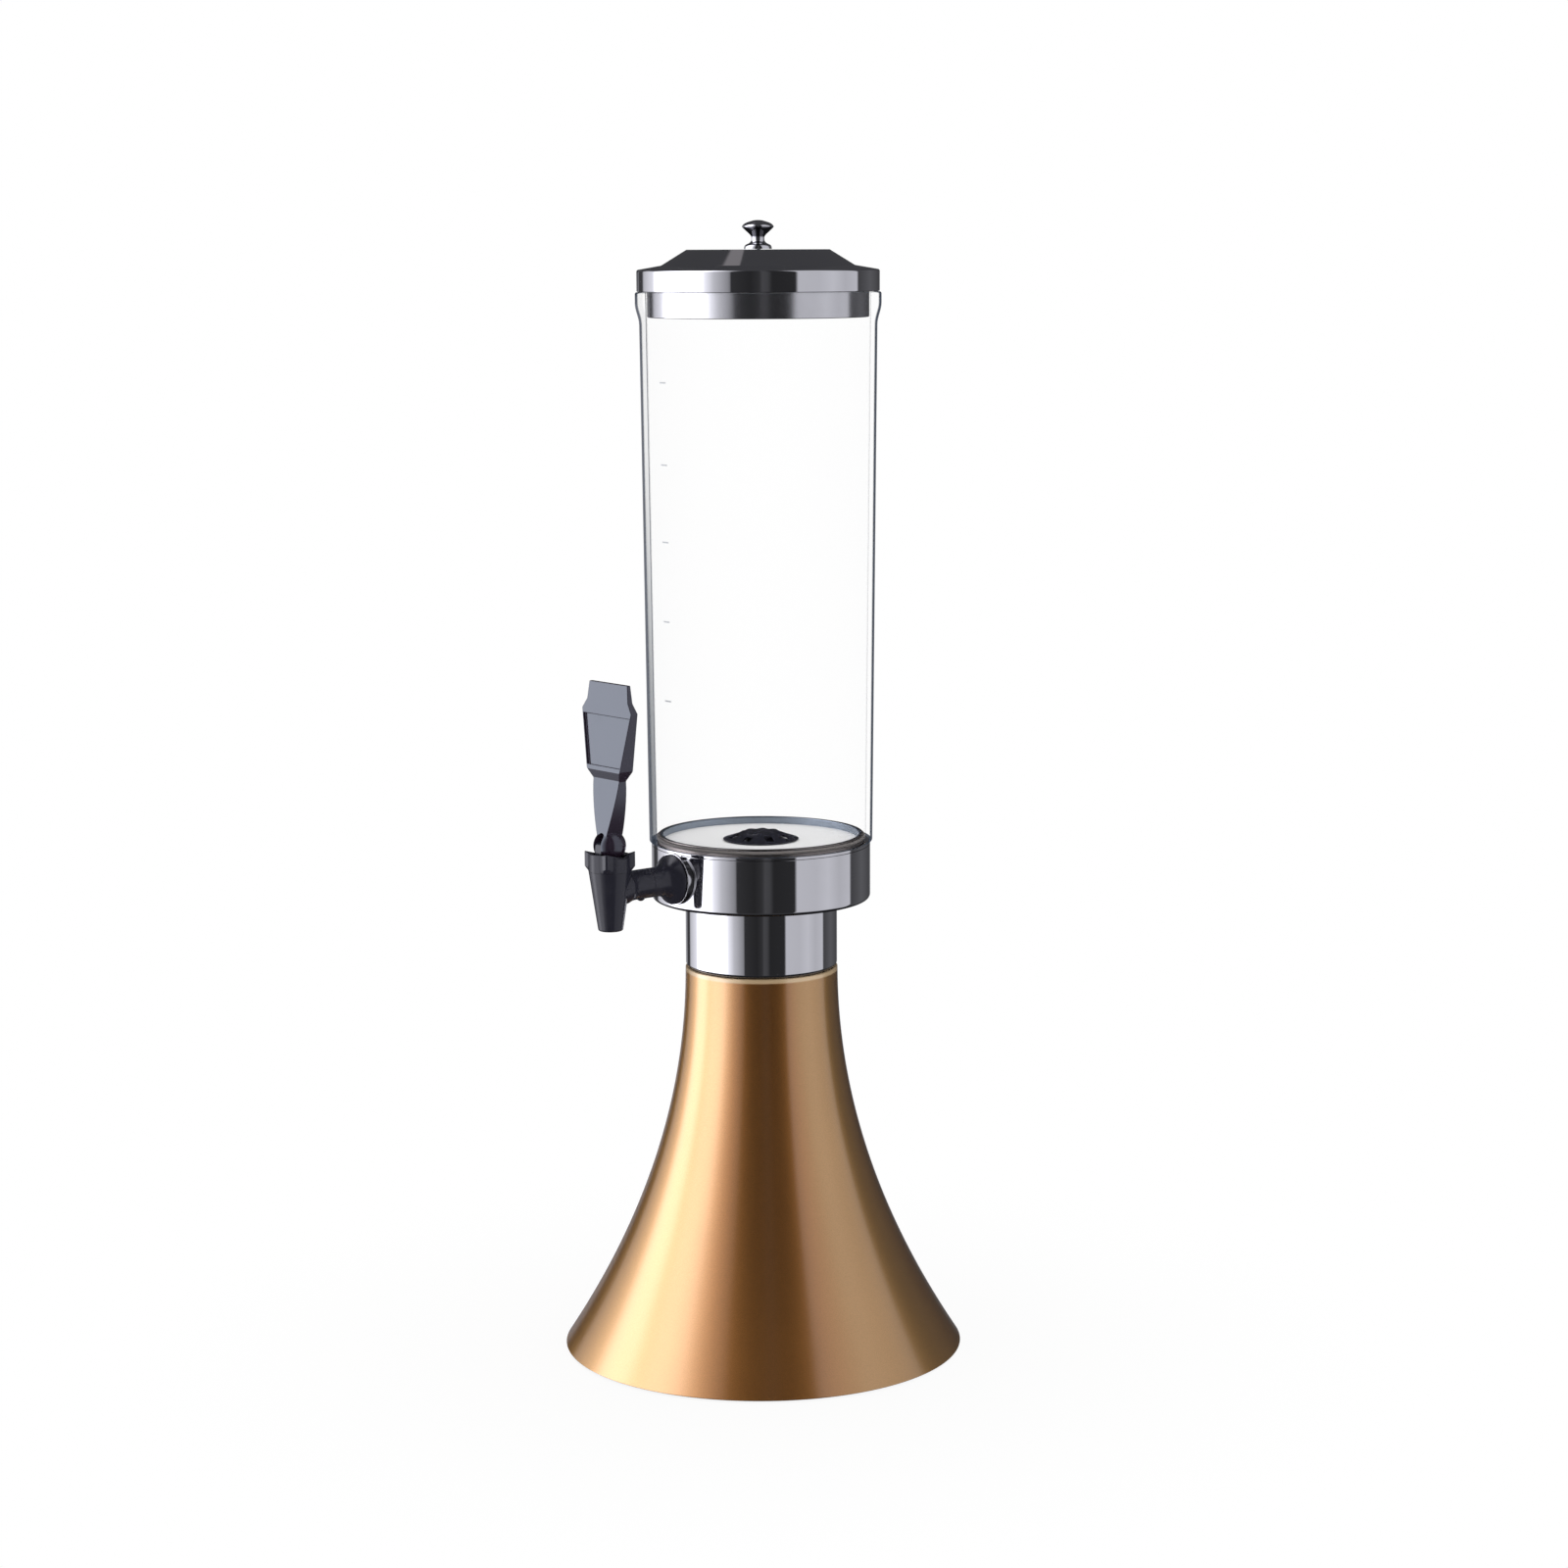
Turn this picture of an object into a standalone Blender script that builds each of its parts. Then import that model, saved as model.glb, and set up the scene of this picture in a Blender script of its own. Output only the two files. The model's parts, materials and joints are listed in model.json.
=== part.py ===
"""Beer tower dispenser: a trumpet base, a clear reservoir on a chrome cup, a lift-off lid and a paddle tap.

Metres, +Z up. The origin is on the table under the tower's axis, and the tap points along -Y.
"""

import math

import bmesh
import bpy
from mathutils import Matrix, Vector

# Fits, sheet and the fineness of round pieces
GAP = 0.0003
RUN_GAP = 0.0004
SHEET = 0.0012
MERGE = 0.00001
OVERRUN = 0.002
LARGE_STEPS = 48
MEDIUM_STEPS = 32
SMALL_STEPS = 20
TINY_STEPS = 12
ARC_STEPS = 2
FILLET_LIMIT_SHARE = 0.45
HEX_SIDES = 6

# Trumpet base
BASE_HEIGHT = 0.2217
BASE_FOOT_RADIUS = 0.1150
BASE_NECK_RADIUS = 0.0433
BASE_FLARE_POWER = 2.03
BASE_FLARE_STEPS = 11
BASE_BORE_STEPS = 6
BASE_LIP_FILLET = 0.0022
BASE_LEDGE = 0.0080
BASE_HEM = 0.0065
BASE_HEM_FILLET = 0.0011

# Pads, bottom plate and ballast
PAD_COUNT = 4
PAD_RADIUS = 0.0080
PAD_HEIGHT = 0.0024
PAD_INSET = 0.0025
PLATE_THICKNESS = 0.0015
DISH_RADIUS = 0.0200
DISH_SLOPE = 0.0040
TABLE_CLEARANCE = 0.0015
BALLAST_RADIUS = 0.0700
BALLAST_WEB = 0.0120
BALLAST_ROOM = 0.0020

# Tie rod and its fasteners
ROD_RADIUS = 0.0040
ROD_STUB = 0.0008
NUT_HEIGHT = 0.0065
NUT_RADIUS = 0.0075
WASHER_RADIUS = 0.0080
WASHER_THICKNESS = 0.0016

# Neck collar and its discs
COLLAR_RADIUS = 0.0430
COLLAR_HEIGHT = 0.0384
COLLAR_BEVEL = 0.0018
DISC_RIM = 0.0050
DISC_SPIGOT = 0.0030

# Chrome cup and floor tray
CUP_RADIUS = 0.0619
CUP_FILLET = 0.0025
TRAY_THICKNESS = 0.0015
TRAY_STEP = 0.0022
SPIGOT_HEIGHT = 0.0040
SPIGOT_WALL = 0.0024
SPIGOT_PLAY = 0.0016
ORING_RADIUS = 0.0009
ORING_GROOVE_DEPTH = 0.0010

# Clear reservoir tube
TUBE_LENGTH = 0.3071
TUBE_WALL = 0.0036
TUBE_FOOT_RADIUS = 0.0631
TUBE_DRAFT = 0.00996
BEAD_OVERHANG = 0.0023
BEAD_HEIGHT = 0.0060
BEAD_BLEND = 0.0122
BEAD_FILLET = 0.0012
TUBE_FOOT_FILLET = 0.0012

# Lid
LID_RING_RADIUS = 0.0673
LID_RING_HEIGHT = 0.0118
LID_RING_FILLET = 0.0012
LID_CONE_RADIUS = 0.0536
LID_SHOULDER_RISE = 0.0024
LID_PLATEAU_RADIUS = 0.0396
LID_CONE_RISE = 0.0086
PLUG_DEPTH = 0.0142
PLUG_PLAY = 0.0009
PLUG_WALL = 0.0015
PLUG_FILLET = 0.0010
GASKET_THICKNESS = 0.0012

# Lid knob and its screw
KNOB_HEIGHT = 0.0158
KNOB_HEAD_RADIUS = 0.0088
KNOB_FOOT_RADIUS = 0.0077
KNOB_SCREW_RADIUS = 0.0015
KNOB_SCREW_DEPTH_SHARE = 0.52
KNOB_SCREW_HEAD_RADIUS = 0.0035
KNOB_SCREW_HEAD = 0.0022
KNOB_PROFILE_SHARES = (
    (1.000, 0.00), (0.985, 0.28), (0.956, 0.49), (0.890, 0.81), (0.816, 0.95), (0.772, 1.00), (0.710, 0.92),
    (0.611, 0.73), (0.440, 0.40),
)
KNOB_FOOT_SHARES = ((0.310, 0.46), (0.200, 0.66), (0.110, 0.94))

# Drain under the strainer
PORT_ROOM = 0.0011
SUMP_DEPTH = 0.0060
DRAIN_RADIUS = 0.0095
DRAIN_BORE = 0.0062
DRAIN_NECK_RADIUS = 0.0080
DRAIN_NECK_RISE = 0.0030
DRAIN_FLOOR = 0.0016
DRAIN_FLANGE_RADIUS = 0.0140
DRAIN_FLANGE = 0.0020
DRAIN_GASKET = 0.0010
NIPPLE_RADIUS = 0.0050
NIPPLE_BORE = 0.0036
NIPPLE_LENGTH = 0.0140
HOSE_WALL = 0.0020
CLIP_WIDTH = 0.0060
CLIP_THICKNESS = 0.0010
CLIP_INSET = 0.0020

# Strainer cap
STRAINER_FOOT_RADIUS = 0.0214
STRAINER_CROWN_RADIUS = 0.0120
STRAINER_HEIGHT = 0.0056
STRAINER_WALL = 0.0018
STRAINER_FOOT = 0.0008
STRAINER_HUB_WALL = 0.0020
STRAINER_SLOTS = 8
STRAINER_SLOT_WIDTH = 0.0052
STRAINER_SLOT_HEIGHT = 0.0024

# Tap body
TAP_REACH = 0.1072
BARREL_TOP_RADIUS = 0.0116
BARREL_TIP_RADIUS = 0.0068
BARREL_RISE = 0.0098
BARREL_DROP = 0.0233
BARREL_WALL = 0.0024
BARREL_TIP_FILLET = 0.0012
SPOUT_BORE = 0.0046
SEAT_DROP = 0.0137
SEAT_FUNNEL = 0.0015
SHANK_RADIUS = 0.0082
SHANK_TAPER = 0.0008
SHANK_BORE = 0.0040
ESCUTCHEON_RADIUS = 0.0139
ESCUTCHEON_FLARE = 0.0085
ESCUTCHEON_RIM = 0.0009
SADDLE_RADIUS = 0.0146
SADDLE_THICKNESS = 0.0020
THREAD_RADIUS = 0.0074
THREAD_TAIL = 0.0110
TAP_NUT_RADIUS = 0.0110
TAP_NUT_HEIGHT = 0.0050
INNER_SADDLE_RADIUS = 0.0102
INNER_SADDLE_THICKNESS = 0.0024

# Tap bonnet
BONNET_RADIUS = 0.0118
BONNET_CORNER_RADIUS = 0.0139
BONNET_CORNER_HALF_WIDTH = 0.0102
BONNET_CORNER_FOOT = 0.0004
BONNET_WALL = 0.0020
BONNET_BEVEL = 0.0022
BONNET_RISE = 0.0108
BONNET_SCOOP = 0.0024
BONNET_SCOOP_RADIUS = 0.0200
BONNET_FLOOR = 0.0046
BONNET_SKIRT = 0.0040
BONNET_SKIRT_WALL = 0.0015
GLAND_RADIUS = 0.0055
GLAND_DEPTH = 0.0022
STEM_RING_RADIUS = 0.0009

# Tap handle and its ball
BALL_RADIUS = 0.0090
BALL_RISE = 0.0239
PIVOT_OFFSET = 0.0058
HANDLE_HEIGHT = 0.0895
HANDLE_LEAN = 0.0013
PADDLE_HALF_WIDTH = 0.0221
HANDLE_HALF_DEPTH = 0.00565
HANDLE_SECTION_SHARES = (
    (0.007, 0.190, 1.000), (0.0605, 0.190, 1.000), (0.250, 0.420, 0.740), (0.410, 0.533, 0.430),
    (0.469, 0.675, 0.820), (0.832, 1.000, 0.415), (0.892, 0.830, 0.300), (1.000, 0.772, 0.200),
)
LABEL_SPAN_SHARES = (0.492, 0.802)
LABEL_BORDER = 0.0009
LABEL_DEPTH = 0.0014
LABEL_DRAFT = 0.0001
SLOT_HALF_WIDTH = 0.0030
SLOT_RISE = 0.0062
SLOT_BACK = 0.0104
TONGUE_HALF_WIDTH = 0.0026
TONGUE_RADIUS = 0.0022
PIN_RADIUS = 0.0010

# Valve stem and plug
STEM_RADIUS = 0.0015
STEM_FOOT_RISE = 0.0018
STEM_HEAD_LENGTH = 0.0058
STEM_HEAD_HEIGHT = 0.0046
STEM_HEAD_BACK = 0.0024
LINK_PLAY = 0.00025
PLUG_TOP_RADIUS = 0.0052
SEAT_PLUG_HEIGHT = 0.0062

# Heights and radii that follow from the sizes above
RIM_Z = PAD_HEIGHT - SHEET
PLATE_Z = PAD_HEIGHT + GAP
ROD_HOLE = ROD_RADIUS + GAP
FASTENER_STACK = WASHER_THICKNESS + GAP + NUT_HEIGHT + GAP
DISH_UNDER_Z = TABLE_CLEARANCE + ROD_STUB + FASTENER_STACK + TABLE_CLEARANCE
DISH_TOP_Z = DISH_UNDER_Z + PLATE_THICKNESS
BALLAST_TOP_Z = DISH_TOP_Z + GAP + BALLAST_WEB
COLLAR_Z = BASE_HEIGHT + GAP
COLLAR_TOP_Z = COLLAR_Z + COLLAR_HEIGHT
CUP_Z = COLLAR_TOP_Z + GAP
CUP_FLOOR_Z = CUP_Z + SHEET
ROD_TOP_Z = CUP_FLOOR_Z + FASTENER_STACK + ROD_STUB
ROD_FOOT_Z = DISH_UNDER_Z - FASTENER_STACK - ROD_STUB
PORT_Z = ROD_TOP_Z + PORT_ROOM + SUMP_DEPTH
TRAY_UNDER_Z = PORT_Z + TAP_NUT_RADIUS + TRAY_STEP + GAP + GAP
CUP_TOP_Z = TRAY_UNDER_Z - GAP
FLOOR_Z = TRAY_UNDER_Z + TRAY_THICKNESS
TUBE_Z = FLOOR_Z + GAP
TUBE_TOP_Z = TUBE_Z + TUBE_LENGTH
LID_Z = TUBE_TOP_Z + GAP
LID_SHOULDER_Z = LID_Z + LID_RING_HEIGHT
LID_CONE_Z = LID_SHOULDER_Z + LID_SHOULDER_RISE
LID_TOP_Z = LID_CONE_Z + LID_CONE_RISE
GASKET_TOP_Z = LID_Z + GASKET_THICKNESS
KNOB_Z = LID_TOP_Z + GAP
CUP_BORE = CUP_RADIUS - SHEET
COLLAR_BORE = COLLAR_RADIUS - SHEET
LEDGE_BORE = BASE_NECK_RADIUS - BASE_LEDGE
BARREL_TOP_Z = PORT_Z + BARREL_RISE
BARREL_TIP_Z = PORT_Z - BARREL_DROP
SEAT_Z = PORT_Z - SEAT_DROP
BONNET_Z = BARREL_TOP_Z + GAP
BONNET_FLOOR_Z = BONNET_Z + BONNET_FLOOR
BONNET_TOP_Z = BONNET_Z + BONNET_RISE
BALL_Z = PORT_Z + BALL_RISE
PIVOT_Y = -TAP_REACH - PIVOT_OFFSET
STEM_HOLE = STEM_RADIUS + RUN_GAP
PIN_HOLE = PIN_RADIUS + GAP
ORING_SEAT_Z = FLOOR_Z + SPIGOT_HEIGHT - ORING_RADIUS - ORING_RADIUS

FINISHES = {
    "gold": ((0.62, 0.40, 0.20), 0.32, 1.0),
    "chrome": ((0.80, 0.80, 0.82), 0.06, 1.0),
    "steel": ((0.56, 0.57, 0.58), 0.35, 1.0),
    "iron": ((0.10, 0.10, 0.11), 0.70, 0.6),
    "rubber": ((0.03, 0.03, 0.03), 0.80, 0.0),
    "silicone": ((0.75, 0.76, 0.76), 0.45, 0.0),
    "clear": ((0.92, 0.95, 0.96), 0.04, 0.0),
    "black": ((0.03, 0.03, 0.035), 0.25, 0.0),
}


def base_radius(height):
    """Outer radius of the trumpet at a height above the table."""
    flare = BASE_FOOT_RADIUS - BASE_NECK_RADIUS
    return BASE_NECK_RADIUS + flare * (1 - height / BASE_HEIGHT) ** BASE_FLARE_POWER


def base_bore(height):
    """Inner radius of the trumpet: one sheet inside the outer skin, measured square to it."""
    flare = (BASE_FOOT_RADIUS - BASE_NECK_RADIUS) / BASE_HEIGHT
    slope = flare * BASE_FLARE_POWER * (1 - height / BASE_HEIGHT) ** (BASE_FLARE_POWER - 1)
    return base_radius(height) - SHEET * math.hypot(1, slope)


def spaced(start, end, steps):
    """Values from the start to the end, both included."""
    return [start + (end - start) * step / steps for step in range(steps + 1)]


def tube_radius(height):
    """Outer radius of the drafted reservoir wall."""
    return TUBE_FOOT_RADIUS + TUBE_DRAFT * (height - TUBE_Z)


def tube_bore(height):
    return tube_radius(height) - TUBE_WALL


def barrel_radius(height):
    """Outer radius of the tapering tap barrel."""
    rise = (height - BARREL_TIP_Z) / (BARREL_TOP_Z - BARREL_TIP_Z)
    return BARREL_TIP_RADIUS + (BARREL_TOP_RADIUS - BARREL_TIP_RADIUS) * rise


def arc_corner(before, corner, after, fillet):
    """Points of the arc that rounds one corner of an outline."""
    before, corner, after = Vector(before), Vector(corner), Vector(after)
    back, ahead = before - corner, after - corner
    half = back.angle(ahead) / 2
    limit = FILLET_LIMIT_SHARE * min(back.length, ahead.length)
    reach = min(fillet / math.tan(half), limit)
    radius = reach * math.tan(half)
    centre = corner + (back.normalized() + ahead.normalized()).normalized() * (radius / math.sin(half))
    start = corner + back.normalized() * reach - centre
    end = corner + ahead.normalized() * reach - centre
    first = math.atan2(start.y, start.x)
    sweep = math.remainder(math.atan2(end.y, end.x) - first, math.tau)
    turns = [first + sweep * step / ARC_STEPS for step in range(ARC_STEPS + 1)]
    return [(centre.x + radius * math.cos(turn), centre.y + radius * math.sin(turn)) for turn in turns]


def rounded(corners):
    """An outline whose corners are (x, y) or, where the corner is rounded, (x, y, fillet)."""
    points = []
    for index, corner in enumerate(corners):
        if len(corner) < 3:
            points.append(tuple(corner))
            continue
        before = corners[index - 1][:2]
        after = corners[(index + 1) % len(corners)][:2]
        points += arc_corner(before, corner[:2], after, corner[2])
    return points


def finish_of(name):
    """The named finish as a material, made once."""
    material = bpy.data.materials.get(name)
    if material is None:
        colour, roughness, metallic = FINISHES[name]
        material = bpy.data.materials.new(name)
        material.use_nodes = True
        shader = material.node_tree.nodes["Principled BSDF"]
        shader.inputs["Base Color"].default_value = (*colour, 1.0)
        shader.inputs["Roughness"].default_value = roughness
        shader.inputs["Metallic"].default_value = metallic
    return material


def add_piece(name, mesh, finish=None):
    """Link a mesh as a part of the tower, or as a cutter when it has no finish."""
    piece = bpy.data.objects.new(name, mesh)
    if finish is None:
        bpy.data.collections["cutters"].objects.link(piece)
        piece.hide_render = True
        piece.display_type = "WIRE"
    else:
        bpy.data.collections["beer_tower_dispenser"].objects.link(piece)
        mesh.materials.append(finish_of(finish))
    return piece


def turned(name, outline, steps, finish=None, closed=True):
    """A piece turned about its own Z axis from (radius, height) points that run down its outer side."""
    mesh = bpy.data.meshes.new(name)
    edges = [(index, index + 1) for index in range(len(outline) - 1)]
    if closed:
        edges.append((len(outline) - 1, 0))
    mesh.from_pydata([(radius, 0, height) for radius, height in outline], edges, [])
    piece = add_piece(name, mesh, finish)
    turn = piece.modifiers.new("Turn", "SCREW")
    turn.steps = turn.render_steps = steps
    turn.use_merge_vertices = True
    turn.merge_threshold = MERGE
    turn.use_smooth_shade = True
    return piece


def rod(name, radius, low, high, steps, finish=None):
    """A plain round or many-sided bar along its own Z axis."""
    mesh = bpy.data.meshes.new(name)
    bar = bmesh.new()
    bmesh.ops.create_cone(
        bar, cap_ends=True, segments=steps, radius1=radius, radius2=radius, depth=high - low,
        matrix=Matrix.Translation((0, 0, (low + high) / 2)),
    )
    bar.to_mesh(mesh)
    bar.free()
    return add_piece(name, mesh, finish)


def ring(name, outer, inner, low, high, steps, finish=None):
    """A washer or a plain sleeve."""
    return turned(name, [(outer, high), (outer, low), (inner, low), (inner, high)], steps, finish)


def box(name, low, high):
    """A box between two corners, used as a tool."""
    mesh = bpy.data.meshes.new(name)
    block = bmesh.new()
    bmesh.ops.create_cube(block, size=1)
    low, high = Vector(low), Vector(high)
    size = high - low
    bmesh.ops.transform(
        block, verts=block.verts, matrix=Matrix.Translation((low + high) / 2) @ Matrix.Diagonal((*size, 1))
    )
    block.to_mesh(mesh)
    block.free()
    return add_piece(name, mesh)


def move_with(name, place, *pieces):
    """An empty on a joint's axis, and the pieces and tools that move with it."""
    joint = bpy.data.objects.new(name, None)
    bpy.data.collections["beer_tower_dispenser"].objects.link(joint)
    joint.location = place
    for piece in pieces:
        piece.parent = joint
        piece.matrix_parent_inverse = Matrix.Translation(-joint.location)


def along_tap(piece, height):
    """Lay a piece turned about Z along the tap, so that its Z runs outwards along -Y."""
    piece.rotation_euler.x = math.pi / 2
    piece.location.z = height
    return piece


def along_pin(piece, y, height):
    """Lay a piece turned about Z along the X axis."""
    piece.rotation_euler.y = math.pi / 2
    piece.location = (0, y, height)
    return piece


def combine(piece, operation, tools):
    for tool in tools:
        modifier = piece.modifiers.new(operation.capitalize(), "BOOLEAN")
        modifier.operation = operation
        modifier.solver = "EXACT"
        modifier.object = tool
    return piece


def cut(piece, *tools):
    return combine(piece, "DIFFERENCE", tools)


def fuse(piece, *tools):
    return combine(piece, "UNION", tools)


def keep_inside(piece, *tools):
    return combine(piece, "INTERSECT", tools)


def loft(name, sections, finish=None):
    """A solid through level rectangles, each given as (height, low x, high x, low y, high y)."""
    mesh = bpy.data.meshes.new(name)
    block = bmesh.new()
    loops = []
    for height, left, right, front, back in sections:
        corners = ((left, front), (right, front), (right, back), (left, back))
        loops.append([block.verts.new((x, y, height)) for x, y in corners])
    block.faces.new(reversed(loops[0]))
    block.faces.new(loops[-1])
    for lower, upper in zip(loops, loops[1:]):
        for index in range(len(lower)):
            after = (index + 1) % len(lower)
            block.faces.new((lower[index], lower[after], upper[after], upper[index]))
    bmesh.ops.recalc_face_normals(block, faces=block.faces)
    block.to_mesh(mesh)
    block.free()
    return add_piece(name, mesh, finish)


def hex_nut(name, radius, bore, low, high, finish):
    """A hexagonal nut about its own Z axis."""
    nut = rod(name, radius, low, high, HEX_SIDES, finish)
    hole = rod(name + "_bore", bore, low - OVERRUN, high + OVERRUN, SMALL_STEPS)
    hole.parent = nut
    return cut(nut, hole)


def build_base():
    """The spun trumpet: one sheet with a ledge for the neck at the top and a hem rolled in at the foot."""
    shoulder = BASE_HEIGHT - BASE_LIP_FILLET
    flare = [
        (base_radius(height), height)
        for height in spaced(shoulder, PAD_HEIGHT, BASE_FLARE_STEPS)
    ]
    under = BASE_HEIGHT - SHEET
    bore = [(base_bore(height), height) for height in spaced(PAD_HEIGHT, under, BASE_BORE_STEPS)]
    hem_bore = base_radius(RIM_Z) - BASE_HEM
    outline = rounded([
        (LEDGE_BORE, BASE_HEIGHT), (BASE_NECK_RADIUS, BASE_HEIGHT, BASE_LIP_FILLET), *flare,
        (base_radius(RIM_Z), RIM_Z, BASE_HEM_FILLET), (hem_bore, RIM_Z), (hem_bore, PAD_HEIGHT),
        *bore, (LEDGE_BORE, under),
    ])
    turned("base_shell", outline, LARGE_STEPS, "gold")


def build_bottom():
    """The plate crimped into the hem, its pads, and the ballast that stands on it."""
    plate_top = PLATE_Z + PLATE_THICKNESS
    edge = base_bore(plate_top) - GAP
    dish = DISH_RADIUS + DISH_SLOPE
    turned("bottom_plate", [
        (DISH_RADIUS, DISH_TOP_Z), (dish, plate_top), (edge, plate_top), (edge, PLATE_Z),
        (dish - PLATE_THICKNESS, PLATE_Z), (DISH_RADIUS - PLATE_THICKNESS, DISH_UNDER_Z),
        (ROD_HOLE, DISH_UNDER_Z), (ROD_HOLE, DISH_TOP_Z),
    ], MEDIUM_STEPS, "steel")
    reach = base_radius(RIM_Z) - BASE_HEM - PAD_INSET - PAD_RADIUS
    for index in range(PAD_COUNT):
        turn = math.tau * (index + 1 / 2) / PAD_COUNT
        pad = rod(f"foot_pad_{index + 1}", PAD_RADIUS, 0, PAD_HEIGHT, SMALL_STEPS, "rubber")
        pad.location = (reach * math.cos(turn), reach * math.sin(turn), 0)
    room = dish + BALLAST_ROOM
    turned("ballast_disc", [
        (BALLAST_RADIUS, BALLAST_TOP_Z), (BALLAST_RADIUS, plate_top + GAP), (room, plate_top + GAP),
        (room, DISH_TOP_Z + GAP), (ROD_HOLE, DISH_TOP_Z + GAP), (ROD_HOLE, BALLAST_TOP_Z),
    ], MEDIUM_STEPS, "iron")


def build_tie_rod():
    """The rod that draws the tower together, with a nut and washer at the dish, the ballast and the cup."""
    rod("tie_rod", ROD_RADIUS, ROD_FOOT_Z, ROD_TOP_Z, TINY_STEPS, "steel")
    foot_nut = DISH_UNDER_Z - FASTENER_STACK
    places = (
        ("foot", foot_nut + NUT_HEIGHT + GAP, foot_nut),
        ("ballast", BALLAST_TOP_Z + GAP, BALLAST_TOP_Z + GAP + WASHER_THICKNESS + GAP),
        ("cup", CUP_FLOOR_Z + GAP, CUP_FLOOR_Z + GAP + WASHER_THICKNESS + GAP),
    )
    for place, washer, nut in places:
        top = washer + WASHER_THICKNESS
        ring(f"{place}_washer", WASHER_RADIUS, ROD_HOLE, washer, top, TINY_STEPS, "steel")
        hex_nut(f"{place}_nut", NUT_RADIUS, ROD_HOLE, nut, nut + NUT_HEIGHT, "steel")


def build_neck():
    """The chrome collar, with a stamped disc at each end that keeps it true to the rod."""
    turned("neck_collar", rounded([
        (COLLAR_RADIUS, COLLAR_TOP_Z), (COLLAR_RADIUS, COLLAR_Z + COLLAR_BEVEL),
        (COLLAR_RADIUS - COLLAR_BEVEL / 2, COLLAR_Z), (COLLAR_BORE - COLLAR_BEVEL / 2, COLLAR_Z),
        (COLLAR_BORE, COLLAR_Z + COLLAR_BEVEL), (COLLAR_BORE, COLLAR_TOP_Z),
    ]), LARGE_STEPS, "chrome")
    rim = COLLAR_BORE - COLLAR_BEVEL / 2 - GAP
    spigot = LEDGE_BORE - GAP
    turned("lower_disc", [
        (rim, COLLAR_Z + SHEET), (rim, COLLAR_Z), (spigot, COLLAR_Z), (spigot, COLLAR_Z - DISC_SPIGOT),
        (spigot - SHEET, COLLAR_Z - DISC_SPIGOT), (spigot - SHEET, COLLAR_Z), (ROD_HOLE, COLLAR_Z),
        (ROD_HOLE, COLLAR_Z + SHEET),
    ], MEDIUM_STEPS, "steel")
    rim = COLLAR_BORE - GAP
    turned("upper_disc", [
        (rim, COLLAR_TOP_Z), (rim, COLLAR_TOP_Z - DISC_RIM), (rim - SHEET, COLLAR_TOP_Z - DISC_RIM),
        (rim - SHEET, COLLAR_TOP_Z - SHEET), (ROD_HOLE, COLLAR_TOP_Z - SHEET), (ROD_HOLE, COLLAR_TOP_Z),
    ], MEDIUM_STEPS, "steel")


def build_cup():
    """The chrome cup, open at the top, with the tap's hole in its wall."""
    cup = turned("cup_shell", rounded([
        (CUP_RADIUS, CUP_TOP_Z), (CUP_RADIUS, CUP_Z, CUP_FILLET), (ROD_HOLE, CUP_Z), (ROD_HOLE, CUP_FLOOR_Z),
        (CUP_BORE, CUP_FLOOR_Z, CUP_FILLET - SHEET), (CUP_BORE, CUP_TOP_Z),
    ]), LARGE_STEPS, "chrome")
    hole = rod("tap_hole", THREAD_RADIUS + GAP, CUP_RADIUS / 2, CUP_RADIUS + OVERRUN, SMALL_STEPS)
    cut(cup, along_tap(hole, PORT_Z))


def build_tray():
    """The mirror floor of the reservoir, stepped into the cup, with the spigot that holds the tube."""
    spigot = tube_bore(TUBE_Z) - SPIGOT_PLAY
    inner = spigot - SPIGOT_WALL
    groove = spigot - ORING_GROOVE_DEPTH
    top = FLOOR_Z + SPIGOT_HEIGHT
    low, high = ORING_SEAT_Z - ORING_RADIUS - GAP, ORING_SEAT_Z + ORING_RADIUS + GAP
    step = CUP_BORE - GAP
    hole = DRAIN_NECK_RADIUS + GAP
    turned("floor_tray", [
        (inner, top), (spigot, top), (spigot, high), (groove, high), (groove, low), (spigot, low),
        (spigot, FLOOR_Z), (CUP_RADIUS, FLOOR_Z), (CUP_RADIUS, TRAY_UNDER_Z), (step, TRAY_UNDER_Z),
        (step, TRAY_UNDER_Z - TRAY_STEP), (step - TRAY_THICKNESS, TRAY_UNDER_Z - TRAY_STEP),
        (step - TRAY_THICKNESS, TRAY_UNDER_Z), (hole, TRAY_UNDER_Z), (hole, FLOOR_Z), (inner, FLOOR_Z),
    ], LARGE_STEPS, "chrome")
    outer = tube_bore(ORING_SEAT_Z) - GAP
    width = outer - groove - GAP
    turned("tray_seal", rounded([
        (outer, ORING_SEAT_Z + ORING_RADIUS, width / 3), (outer, ORING_SEAT_Z - ORING_RADIUS, width / 3),
        (outer - width, ORING_SEAT_Z - ORING_RADIUS), (outer - width, ORING_SEAT_Z + ORING_RADIUS),
    ]), LARGE_STEPS, "silicone")


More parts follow.
